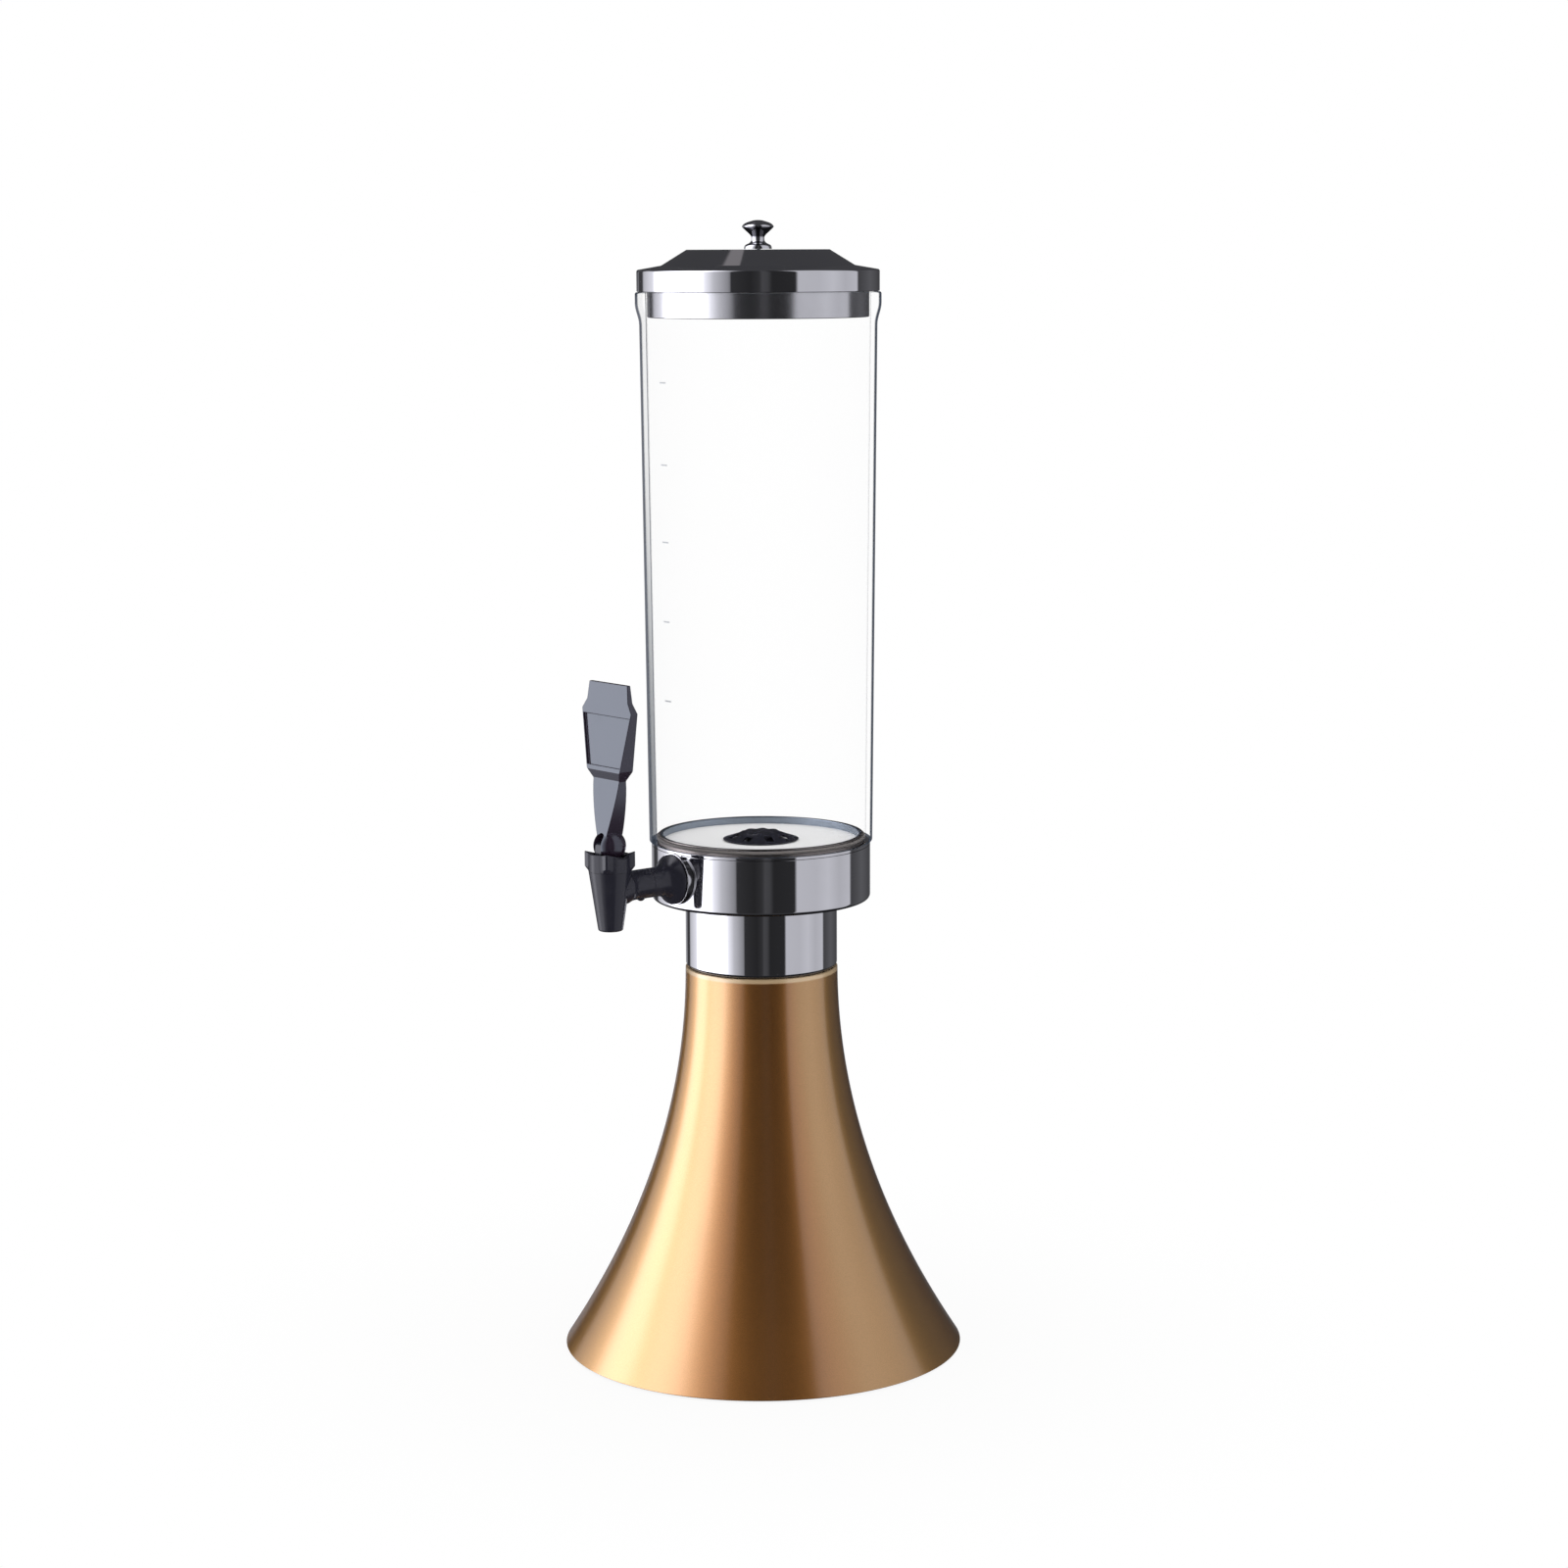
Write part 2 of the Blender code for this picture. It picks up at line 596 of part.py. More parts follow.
def build_tube():
    """The clear reservoir: a drafted wall with a thick bead round its mouth."""
    blend = TUBE_TOP_Z - BEAD_HEIGHT - BEAD_BLEND
    bead = tube_radius(blend) + BEAD_OVERHANG
    shoulder = (blend + TUBE_TOP_Z - BEAD_HEIGHT) / 2
    turned("reservoir_tube", rounded([
        (tube_bore(TUBE_TOP_Z), TUBE_TOP_Z, BEAD_FILLET), (bead, TUBE_TOP_Z, BEAD_FILLET),
        (bead, TUBE_TOP_Z - BEAD_HEIGHT), (tube_radius(shoulder) + BEAD_OVERHANG / 2, shoulder),
        (tube_radius(blend), blend), (tube_radius(TUBE_Z), TUBE_Z, TUBE_FOOT_FILLET),
        (tube_bore(TUBE_Z), TUBE_Z),
    ]), LARGE_STEPS, "clear")


def build_drain():
    """The drain elbow below the floor: a threaded neck, a closed sump and a nipple towards the tap."""
    flange_top = TRAY_UNDER_Z - GAP - DRAIN_GASKET - GAP
    sump = PORT_Z - SUMP_DEPTH
    neck_top = FLOOR_Z + DRAIN_NECK_RISE
    drain = turned("drain_elbow", [
        (0, neck_top), (DRAIN_NECK_RADIUS, neck_top), (DRAIN_NECK_RADIUS, flange_top),
        (DRAIN_FLANGE_RADIUS, flange_top), (DRAIN_FLANGE_RADIUS, flange_top - DRAIN_FLANGE),
        (DRAIN_RADIUS, flange_top - DRAIN_FLANGE), (DRAIN_RADIUS, sump), (0, sump),
    ], SMALL_STEPS, "black", closed=False)
    end = DRAIN_RADIUS + NIPPLE_LENGTH
    nipple = along_tap(rod("drain_nipple", NIPPLE_RADIUS, DRAIN_BORE, end, SMALL_STEPS), PORT_Z)
    bore = rod("drain_bore", DRAIN_BORE, sump + DRAIN_FLOOR, neck_top + OVERRUN, SMALL_STEPS)
    port = along_tap(rod("drain_port", NIPPLE_BORE, 0, end + OVERRUN, TINY_STEPS), PORT_Z)
    cut(fuse(drain, nipple), bore, port)
    ring(
        "drain_gasket", DRAIN_FLANGE_RADIUS, DRAIN_NECK_RADIUS + GAP, flange_top + GAP,
        flange_top + GAP + DRAIN_GASKET, SMALL_STEPS, "rubber",
    )


def build_strainer():
    """The black cap screwed on the drain's neck: a sloping skirt with slots, on a foot ring."""
    low = FLOOR_Z + GAP
    top = low + STRAINER_HEIGHT
    foot_top = low + STRAINER_FOOT
    hub = DRAIN_NECK_RADIUS + GAP
    strainer = turned("drain_strainer", [
        (0, top), (STRAINER_CROWN_RADIUS, top), (STRAINER_FOOT_RADIUS, foot_top), (STRAINER_FOOT_RADIUS, low),
        (STRAINER_FOOT_RADIUS - STRAINER_WALL, low), (STRAINER_CROWN_RADIUS, top - STRAINER_WALL),
        (hub + STRAINER_HUB_WALL, top - STRAINER_WALL), (hub + STRAINER_HUB_WALL, low), (hub, low),
        (hub, top - STRAINER_WALL), (0, top - STRAINER_WALL),
    ], STRAINER_SLOTS * 4, "black", closed=False)
    half = STRAINER_SLOT_WIDTH / 2
    for index in range(STRAINER_SLOTS):
        slot = box(
            f"strainer_slot_{index}", (hub / 2, -half, foot_top),
            (STRAINER_FOOT_RADIUS, half, foot_top + STRAINER_SLOT_HEIGHT),
        )
        slot.rotation_euler.z = math.tau * (index + 1 / 2) / STRAINER_SLOTS
        cut(strainer, slot)


def build_hose(tail_end):
    """The short hose between the drain's nipple and the tap's tail, with a clip on each end."""
    near = DRAIN_RADIUS + GAP
    far = tail_end - GAP
    bore = NIPPLE_RADIUS + GAP
    outer = bore + HOSE_WALL
    along_tap(ring("outlet_hose", outer, bore, near, far, SMALL_STEPS, "silicone"), PORT_Z)
    for place, start in (("drain", near + CLIP_INSET), ("tap", far - CLIP_INSET - CLIP_WIDTH)):
        clip = ring(
            f"{place}_hose_clip", outer + GAP + CLIP_THICKNESS, outer + GAP, start, start + CLIP_WIDTH,
            SMALL_STEPS, "steel",
        )
        along_tap(clip, PORT_Z)


def build_tap_body(face, tail_end):
    """The tap's moulding: barrel, shank, escutcheon, threaded tail and nipple, bored right through."""
    body = turned("tap_body", rounded([
        (0, BARREL_TOP_Z), (BARREL_TOP_RADIUS, BARREL_TOP_Z),
        (BARREL_TIP_RADIUS, BARREL_TIP_Z, BARREL_TIP_FILLET), (0, BARREL_TIP_Z),
    ]), SMALL_STEPS, "black", closed=False)
    body.location.y = -TAP_REACH
    rim = face + ESCUTCHEON_RIM
    nipple_end = tail_end - NIPPLE_LENGTH
    shank = turned("tap_shank", [
        (0, TAP_REACH), (SHANK_RADIUS, TAP_REACH), (SHANK_RADIUS + SHANK_TAPER, rim + ESCUTCHEON_FLARE),
        ((SHANK_RADIUS + ESCUTCHEON_RADIUS) / 2, rim + ESCUTCHEON_FLARE / 3), (ESCUTCHEON_RADIUS, rim),
        (ESCUTCHEON_RADIUS, face), (THREAD_RADIUS, face), (THREAD_RADIUS, tail_end),
        (NIPPLE_RADIUS, tail_end), (NIPPLE_RADIUS, nipple_end), (0, nipple_end),
    ], SMALL_STEPS, closed=False)
    port = rod("tap_port", SHANK_BORE, nipple_end - OVERRUN, TAP_REACH, TINY_STEPS)
    chamber = turned("tap_chamber", [
        (0, BARREL_TOP_Z + OVERRUN), (BARREL_TOP_RADIUS - BARREL_WALL, BARREL_TOP_Z + OVERRUN),
        (BARREL_TOP_RADIUS - BARREL_WALL, BONNET_Z - BONNET_SKIRT - RUN_GAP),
        (barrel_radius(SEAT_Z + SEAT_FUNNEL) - BARREL_WALL, SEAT_Z + SEAT_FUNNEL),
        (SPOUT_BORE, SEAT_Z), (SPOUT_BORE, BARREL_TIP_Z - OVERRUN), (0, BARREL_TIP_Z - OVERRUN),
    ], SMALL_STEPS, closed=False)
    chamber.location.y = -TAP_REACH
    cut(fuse(body, along_tap(shank, PORT_Z)), chamber, along_tap(port, PORT_Z))


def saddle(name, radius, near, far, wall, keep, finish):
    """A washer on the shank whose one face is shaped to the round wall of the cup."""
    washer = ring(name, radius, THREAD_RADIUS + GAP, near, far, MEDIUM_STEPS, finish)
    tool = rod(name + "_wall", wall, CUP_Z - OVERRUN, CUP_TOP_Z + OVERRUN, LARGE_STEPS)
    keep(along_tap(washer, PORT_Z), tool)


def build_tap_fixing(face, tail_end):
    """What clamps the tap to the cup: a bright saddle outside, a rubber one inside and a hexagonal nut."""
    saddle("tap_saddle", SADDLE_RADIUS, CUP_RADIUS / 2, face - GAP, CUP_RADIUS + GAP, cut, "steel")
    inner_face = CUP_BORE - GAP - INNER_SADDLE_THICKNESS
    wall = CUP_BORE - GAP
    saddle("tap_inner_saddle", INNER_SADDLE_RADIUS, inner_face, CUP_RADIUS, wall, keep_inside, "rubber")
    high = inner_face - GAP
    nut = hex_nut("tap_nut", TAP_NUT_RADIUS, THREAD_RADIUS + GAP, high - TAP_NUT_HEIGHT, high, "black")
    along_tap(nut, PORT_Z)


def build_bonnet():
    """The bonnet screwed in the barrel: raised corners, a dish, the stem's gland and the pivot tongue."""
    skirt = BARREL_TOP_RADIUS - BARREL_WALL - GAP
    skirt_z = BONNET_Z - BONNET_SKIRT
    gland_z = BONNET_Z - GLAND_DEPTH
    groove = STEM_HOLE + STEM_RING_RADIUS + STEM_RING_RADIUS
    groove_low = gland_z + STEM_RING_RADIUS
    groove_high = groove_low + STEM_RING_RADIUS + STEM_RING_RADIUS
    inner = skirt - BONNET_SKIRT_WALL
    roof = BONNET_FLOOR_Z - BONNET_WALL
    bonnet = turned("tap_bonnet", [
        (BONNET_RADIUS - BONNET_WALL, BONNET_TOP_Z), (BONNET_RADIUS, BONNET_TOP_Z),
        (BONNET_RADIUS, BONNET_Z), (skirt, BONNET_Z), (skirt, skirt_z), (inner, skirt_z),
        (inner, roof), (GLAND_RADIUS, roof), (GLAND_RADIUS, gland_z), (STEM_HOLE, gland_z),
        (STEM_HOLE, groove_low), (groove, groove_low), (groove, groove_high),
        (STEM_HOLE, groove_high), (STEM_HOLE, BONNET_FLOOR_Z), (BALL_RADIUS + RUN_GAP, BONNET_FLOOR_Z),
    ], SMALL_STEPS, "black")
    bonnet.location.y = -TAP_REACH
    middle, foot = BONNET_RADIUS - BONNET_WALL / 2, BONNET_Z + BONNET_CORNER_FOOT
    corners = turned("bonnet_corners", [
        (middle, BONNET_TOP_Z), (BONNET_CORNER_RADIUS, BONNET_TOP_Z),
        (BONNET_CORNER_RADIUS, BONNET_Z + BONNET_BEVEL), (BONNET_RADIUS, foot), (middle, foot),
    ], MEDIUM_STEPS)
    corners.location.y = -TAP_REACH
    half = BONNET_CORNER_HALF_WIDTH
    near, far = -TAP_REACH - half, half - TAP_REACH
    square = box("bonnet_square", (-half, near, BONNET_Z), (half, far, BONNET_TOP_Z + OVERRUN))
    fuse(bonnet, keep_inside(corners, square))
    tools = []
    for name, turn in (("scoop_across", 0), ("scoop_along", math.pi / 2)):
        reach = BONNET_CORNER_RADIUS + OVERRUN
        scoop = rod(name, BONNET_SCOOP_RADIUS, -reach, reach, LARGE_STEPS)
        scoop.rotation_euler = (math.pi / 2, 0, turn)
        scoop.location = (0, -TAP_REACH, BONNET_TOP_Z - BONNET_SCOOP + BONNET_SCOOP_RADIUS)
        tools.append(scoop)
    cut(bonnet, *tools)
    low = BONNET_FLOOR_Z - BONNET_WALL / 2
    tongue = box(
        "tongue", (-TONGUE_HALF_WIDTH, PIVOT_Y - TONGUE_RADIUS, low),
        (TONGUE_HALF_WIDTH, PIVOT_Y + TONGUE_RADIUS, BALL_Z),
    )
    crown = rod("tongue_crown", TONGUE_RADIUS, -TONGUE_HALF_WIDTH, TONGUE_HALF_WIDTH, SMALL_STEPS)
    fuse(bonnet, tongue, along_pin(crown, PIVOT_Y, BALL_Z))
    bore = rod("tongue_bore", PIN_HOLE, -BALL_RADIUS, BALL_RADIUS, TINY_STEPS)
    cut(bonnet, along_pin(bore, PIVOT_Y, BALL_Z))
    middle = (groove_low + groove_high) / 2
    half = STEM_RING_RADIUS - GAP
    seal = ring("stem_seal", groove - GAP, STEM_HOLE, middle - half, middle + half, SMALL_STEPS, "silicone")
    seal.location.y = -TAP_REACH


def handle_section(share):
    """Height, half width, front and back of the handle at a share of its height."""
    for lower, upper in zip(HANDLE_SECTION_SHARES, HANDLE_SECTION_SHARES[1:]):
        if lower[0] <= share <= upper[0]:
            along = (share - lower[0]) / (upper[0] - lower[0])
            width = PADDLE_HALF_WIDTH * (lower[1] + (upper[1] - lower[1]) * along)
            depth = HANDLE_HALF_DEPTH * (lower[2] + (upper[2] - lower[2]) * along)
            middle = HANDLE_LEAN * share - TAP_REACH
            return BALL_Z + HANDLE_HEIGHT * share, width, middle - depth, middle + depth
    raise ValueError("the share lies outside the handle")


def label_recess():
    """The tool for the shallow recess: square to the leaning front, its walls opening slightly outwards."""
    (low, low_width, low_front, _), (high, high_width, high_front, _) = map(handle_section, LABEL_SPAN_SHARES)
    length = math.hypot(high - low, high_front - low_front)
    low_side, high_side = low_width - LABEL_BORDER, high_width - LABEL_BORDER
    mesh = bpy.data.meshes.new("label_recess")
    block = bmesh.new()
    for depth, draft in ((LABEL_DEPTH, 0), (-LABEL_DEPTH, LABEL_DRAFT * 2)):
        for side, place in ((low_side + draft, -draft), (high_side + draft, length + draft)):
            block.verts.new((-side, depth, place))
            block.verts.new((side, depth, place))
    bmesh.ops.convex_hull(block, input=block.verts)
    block.to_mesh(mesh)
    block.free()
    recess = add_piece("label_recess", mesh)
    recess.location = (0, low_front, low)
    recess.rotation_euler.x = -math.atan2(high_front - low_front, high - low)
    return recess


def build_handle():
    """The paddle on its ball: a grip with a bare recess for a label, slotted for the tongue and the stem."""
    sections = []
    for share, _, _ in HANDLE_SECTION_SHARES:
        height, width, front, back = handle_section(share)
        sections.append((height, -width, width, front, back))
    handle = loft("tap_handle", sections, "black")
    mesh = bpy.data.meshes.new("handle_ball")
    ball = bmesh.new()
    bmesh.ops.create_uvsphere(ball, u_segments=SMALL_STEPS, v_segments=TINY_STEPS, radius=BALL_RADIUS)
    ball.to_mesh(mesh)
    ball.free()
    mesh.shade_smooth()
    knob = add_piece("handle_ball", mesh)
    knob.location = (0, -TAP_REACH, BALL_Z)
    slot = box(
        "handle_slot", (-SLOT_HALF_WIDTH, PIVOT_Y - BALL_RADIUS, BALL_Z - BALL_RADIUS - OVERRUN),
        (SLOT_HALF_WIDTH, PIVOT_Y + SLOT_BACK, BALL_Z + SLOT_RISE - SLOT_HALF_WIDTH),
    )
    arch = rod("slot_arch", SLOT_HALF_WIDTH, -PIVOT_Y - SLOT_BACK, -PIVOT_Y + BALL_RADIUS, SMALL_STEPS)
    along_tap(arch, BALL_Z + SLOT_RISE - SLOT_HALF_WIDTH)
    pivot = rod("pivot_bore", PIN_HOLE, -BALL_RADIUS - OVERRUN, BALL_RADIUS + OVERRUN, TINY_STEPS)
    link = rod("link_bore", PIN_HOLE, -BALL_RADIUS - OVERRUN, BALL_RADIUS + OVERRUN, TINY_STEPS)
    along_pin(pivot, PIVOT_Y, BALL_Z)
    along_pin(link, -TAP_REACH, BALL_Z)
    tools = (label_recess(), slot, arch, pivot, link)
    cut(fuse(handle, knob), *tools)
    chord = math.sqrt(BALL_RADIUS ** 2 - (PIVOT_OFFSET + PIN_HOLE) ** 2) - GAP
    along_pin(rod("pivot_pin", PIN_RADIUS, -chord, chord, TINY_STEPS, "steel"), PIVOT_Y, BALL_Z)
    chord = BALL_RADIUS - GAP - GAP
    link_pin = along_pin(rod("link_pin", PIN_RADIUS, -chord, chord, TINY_STEPS, "steel"), -TAP_REACH, BALL_Z)
    move_with("handle_hinge", (0, PIVOT_Y, BALL_Z), handle, knob, link_pin, *tools)


def build_valve():
    """The stem that the handle's link pin lifts, and the soft plug on its foot."""
    foot = SEAT_Z + STEM_FOOT_RISE
    head_low = BALL_Z - STEM_HEAD_HEIGHT / 2
    stem = rod("valve_stem", STEM_RADIUS, foot, head_low + OVERRUN, TINY_STEPS, "steel")
    stem.location.y = -TAP_REACH
    back = -TAP_REACH + STEM_HEAD_BACK
    head = box(
        "stem_head", (-TONGUE_HALF_WIDTH, back - STEM_HEAD_LENGTH, head_low),
        (TONGUE_HALF_WIDTH, back, head_low + STEM_HEAD_HEIGHT),
    )
    half = PIN_RADIUS + LINK_PLAY
    window = box(
        "stem_window", (-BALL_RADIUS, back - STEM_HEAD_LENGTH + half, BALL_Z - half),
        (BALL_RADIUS, -TAP_REACH + half, BALL_Z + half),
    )
    cut(fuse(stem, head), window)
    low = SEAT_Z + RUN_GAP
    top = low + SEAT_PLUG_HEIGHT
    plug = turned("seat_plug", [
        (0, foot - GAP), (STEM_HOLE, foot - GAP), (STEM_HOLE, top), (PLUG_TOP_RADIUS, top),
        (PLUG_TOP_RADIUS, low + PLUG_TOP_RADIUS - SPOUT_BORE), (SPOUT_BORE - RUN_GAP, low), (0, low),
    ], SMALL_STEPS, "silicone", closed=False)
    plug.location.y = -TAP_REACH
    move_with("valve_slide", (0, -TAP_REACH, SEAT_Z), stem, head, window, plug)


def build_lid():
    """The spun lid, the plug that closes it below, and the gasket that it rests on."""
    ring_bore = LID_RING_RADIUS - SHEET
    shell = turned("lid_shell", rounded([
        (LID_PLATEAU_RADIUS, LID_TOP_Z), (LID_CONE_RADIUS, LID_CONE_Z),
        (LID_RING_RADIUS, LID_SHOULDER_Z, LID_RING_FILLET), (LID_RING_RADIUS, LID_Z), (ring_bore, LID_Z),
        (ring_bore, LID_SHOULDER_Z - SHEET), (LID_CONE_RADIUS, LID_CONE_Z - SHEET),
        (LID_PLATEAU_RADIUS, LID_TOP_Z - SHEET), (KNOB_SCREW_RADIUS + GAP, LID_TOP_Z - SHEET),
        (KNOB_SCREW_RADIUS + GAP, LID_TOP_Z),
    ]), LARGE_STEPS, "chrome")
    low = LID_Z - PLUG_DEPTH
    radius = tube_bore(low) - PLUG_PLAY
    ledge = GASKET_TOP_Z + GAP
    edge = ring_bore - GAP
    plug = turned("lid_plug", rounded([
        (0, low + PLUG_WALL), (radius - PLUG_WALL, low + PLUG_WALL), (radius - PLUG_WALL, ledge + PLUG_WALL),
        (edge, ledge + PLUG_WALL), (edge, ledge), (radius, ledge), (radius, low, PLUG_FILLET), (0, low),
    ]), LARGE_STEPS, "chrome", closed=False)
    gasket = ring("lid_gasket", edge, radius + GAP, LID_Z, GASKET_TOP_Z, LARGE_STEPS, "silicone")
    return shell, plug, gasket


def build_knob():
    """The turned knob and the screw that holds it from inside the lid."""
    head = [
        (KNOB_HEAD_RADIUS * radius, KNOB_Z + KNOB_HEIGHT * height) for height, radius in KNOB_PROFILE_SHARES
    ]
    foot = [
        (KNOB_FOOT_RADIUS * radius, KNOB_Z + KNOB_HEIGHT * height) for height, radius in KNOB_FOOT_SHARES
    ]
    bore = KNOB_SCREW_RADIUS + GAP
    bore_top = KNOB_Z + KNOB_HEIGHT * KNOB_SCREW_DEPTH_SHARE
    knob = turned("lid_knob", [
        *head, *foot, (KNOB_FOOT_RADIUS, KNOB_Z), (bore, KNOB_Z), (bore, bore_top), (0, bore_top),
    ], SMALL_STEPS, "chrome", closed=False)
    seat = LID_TOP_Z - SHEET - GAP
    head_z = seat - KNOB_SCREW_HEAD
    screw = turned("knob_screw", [
        (0, bore_top - GAP), (KNOB_SCREW_RADIUS, bore_top - GAP), (KNOB_SCREW_RADIUS, seat),
        (KNOB_SCREW_HEAD_RADIUS, seat), (KNOB_SCREW_HEAD_RADIUS, head_z), (0, head_z),
    ], TINY_STEPS, "steel", closed=False)
    return knob, screw


def build():
    for old in list(bpy.data.objects):
        bpy.data.objects.remove(old, do_unlink=True)
    for name in ("beer_tower_dispenser", "cutters"):
        bpy.context.scene.collection.children.link(bpy.data.collections.new(name))
    face = CUP_RADIUS + GAP + SADDLE_THICKNESS + GAP
    tail_end = face - SADDLE_THICKNESS - THREAD_TAIL
    build_base()
    build_bottom()
    build_tie_rod()
    build_neck()
    build_cup()
    build_tray()
    build_tube()
    build_drain()
    build_strainer()
    build_hose(tail_end)
    build_tap_body(face, tail_end)
    build_tap_fixing(face, tail_end)
    build_bonnet()
    build_handle()
    build_valve()
    move_with("lid_slide", (0, 0, LID_Z), *build_lid(), *build_knob())


build()
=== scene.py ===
"""Beer tower dispenser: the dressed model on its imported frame, in metres, with +Z up and the tap along -Y."""

import json
import math

import bmesh
import bpy
from mathutils import Matrix, Vector


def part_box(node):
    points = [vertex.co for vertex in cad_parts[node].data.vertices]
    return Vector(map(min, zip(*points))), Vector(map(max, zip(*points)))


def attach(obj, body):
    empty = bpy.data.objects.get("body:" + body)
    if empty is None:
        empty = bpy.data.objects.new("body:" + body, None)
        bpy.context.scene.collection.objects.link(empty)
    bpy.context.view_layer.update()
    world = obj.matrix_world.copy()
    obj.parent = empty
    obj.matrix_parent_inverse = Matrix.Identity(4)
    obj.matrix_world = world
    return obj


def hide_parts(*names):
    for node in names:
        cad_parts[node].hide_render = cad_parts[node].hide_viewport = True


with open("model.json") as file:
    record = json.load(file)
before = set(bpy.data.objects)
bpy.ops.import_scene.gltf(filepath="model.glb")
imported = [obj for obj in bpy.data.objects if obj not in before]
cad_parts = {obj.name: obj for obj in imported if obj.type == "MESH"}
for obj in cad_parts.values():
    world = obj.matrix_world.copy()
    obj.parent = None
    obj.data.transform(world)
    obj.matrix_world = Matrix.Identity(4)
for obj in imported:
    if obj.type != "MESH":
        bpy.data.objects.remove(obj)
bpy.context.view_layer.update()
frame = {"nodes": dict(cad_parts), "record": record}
nodes = frame["nodes"]


# Fineness and thickness shared by the turned pieces
FINE_STEPS = 224
SMALL_STEPS = 96
ARC_STEPS = 7
WELD = 0.000001
HOLD = 0.0002
CREASE_DEGREES = 28
SHEET = 0.0012
GAP = 0.0003

# Camera, as recovered from the photo's ellipses
VIEW_DISTANCE = 1.94
VIEW_HEIGHT = 0.6251
VIEW_AZIMUTH = math.radians(50.5)
VIEW_TILT = math.radians(8.779)
VIEW_YAW = math.radians(0.39)
VIEW_ROLL = math.radians(0.23)
SENSOR = 36
LENS = 79.7

# Trumpet base
BELL_FOOT = 0.1149
BELL_POWER = 2.03
BELL_POINTS = 40
BELL_LIP = 0.0022
BELL_HEM = 0.0065
BELL_ROLL = 0.0011
BELL_LEDGE = 0.0080

# Reservoir tube, its bead and the printed level marks
TUBE_FOOT = 0.0631
TUBE_DRAFT = 0.00996
WALL = 0.0036
BEAD_HEIGHT = 0.0060
BEAD_BLEND = 0.0122
BEAD_FILLET = 0.0012
BEAD_SHARES = (1.0, 0.88, 0.76, 0.64, 0.52, 0.40, 0.28, 0.14)
MARK_HEIGHTS = (0.3780, 0.4220, 0.4658, 0.5081, 0.5528)
MARK_LENGTH = 0.0055
MARK_LINE = 0.0008
MARK_THICKNESS = 0.00005
MARK_OFFSET = 0.0025
MARK_STEPS = 8

# Tap barrel, spout and shank; places along the shank are measured from the tower's axis
TAP_REACH = 0.1072
BARREL_TOP = 0.0118
BARREL_TIP = 0.0068
BARREL_WALL = 0.0024
BARREL_TIP_ROUND = 0.0011
SPOUT_BORE = 0.0046
SEAT_DROP = 0.0137
SEAT_FUNNEL = 0.0015
SHANK = 0.0082
SHANK_WELD = 0.0014
WELD_PLACES = (0.0915, 0.0975)
WELD_POINTS = 6
FLARE_START = 0.0765
FLARE_POWER = 2.5
FLARE_POINTS = 14
FLANGE = 0.0139
FLANGE_FACE = 0.0645
FLANGE_RIM = 0.0009
FLANGE_ROUND = 0.0007
WASHER_ROUND = 0.0004
THREAD = 0.0074
TAIL_END = 0.0515
TAIL_NIPPLE = 0.0050
TAIL_NIPPLE_END = 0.0375
PORT_BORE = 0.0040
SEAM_PLACE = 0.0822
SEAM_WIDTH = 0.0004
SEAM_DEPTH = 0.00015
GATE_PLACE = 0.0862
GATE_RADIUS = 0.0026
GATE_RISE = 0.0013

# Bonnet and the tongue that carries the handle's pivot
BONNET = 0.0118
BONNET_CORNER = 0.0139
BONNET_SQUARE = 0.0102
BONNET_WALL = 0.0020
BONNET_BEVEL = 0.0026
BONNET_RISE = 0.0108
BONNET_FLOOR = 0.0046
BONNET_SKIRT = 0.0040
BONNET_STEPS = 288
SIDE_POINTS = 22
BONNET_ROUND = 0.0007
BONNET_FLOOR_ROUND = 0.0008
SCOOP = 0.0024
SCOOP_RADIUS = 0.0200
SCOOP_FRONT = 0.6
SCOOP_FADE = 0.0010
CORNER_BLEND = 0.0006
STEM_HOLE = 0.0019
GLAND = (0.0055, 0.0022)
TONGUE_HALF = 0.0026
TONGUE_RADIUS = 0.0022
PIVOT_OFFSET = 0.0058

# Handle: shares of its height, half width and half depth, from the ball up
BALL = 0.0090
BALL_RISE = 0.0239
HANDLE_HEIGHT = 0.0895
HANDLE_LEAN = 0.0013
HANDLE_WIDTH = 0.0221
HANDLE_DEPTH = 0.00565
HANDLE_ROOT = 0.007
NECK_SHARES = (0.0605, 0.410)
NECK_POINTS = 8
NECK_WIDTHS = (0.190, 0.533)
NECK_DEPTHS = (1.000, 0.430)
NECK_SWELL = 1.42
NECK_TAPER = 1.28
PADDLE_SHARES = (
    (0.469, 0.675, 0.820), (0.492, 0.696, 0.794), (0.802, 0.973, 0.448), (0.832, 1.000, 0.415),
    (0.892, 0.830, 0.300), (1.000, 0.772, 0.200),
)
LABEL_SHARES = (0.492, 0.802)
LABEL_BORDER = 0.0009
LABEL_DEPTH = 0.0014
EDGE_ROUND = 0.00045
EDGE_TURN = math.radians(14)
SLOT_HALF = 0.0030
SLOT_RISE = 0.0076
SLOT_BACK = 0.0104

# Strainer
STRAINER_RISE = 0.0050
STRAINER_CROWN = 0.0110
STRAINER_LOBES = 8
STRAINER_SLOT = (0.0046, 0.0012, 0.0030)
STRAINER_HUB = 0.0083
STRAINER_WALL = 0.0012
STRAINER_DROP = 0.0010
STRAINER_EDGE = 0.0004
STRAINER_RIM = 0.0016
STRAINER_TOP = 0.0011
HUB_WALL = 0.0020
HUB_CLEARANCE = 0.0022
LOBE_RISE = 0.0003
LOBE_SPREAD = 0.0065

# Shared by several pieces
CRISP = 0.0003
EASED = 0.0005
ROUND_STEPS = 48

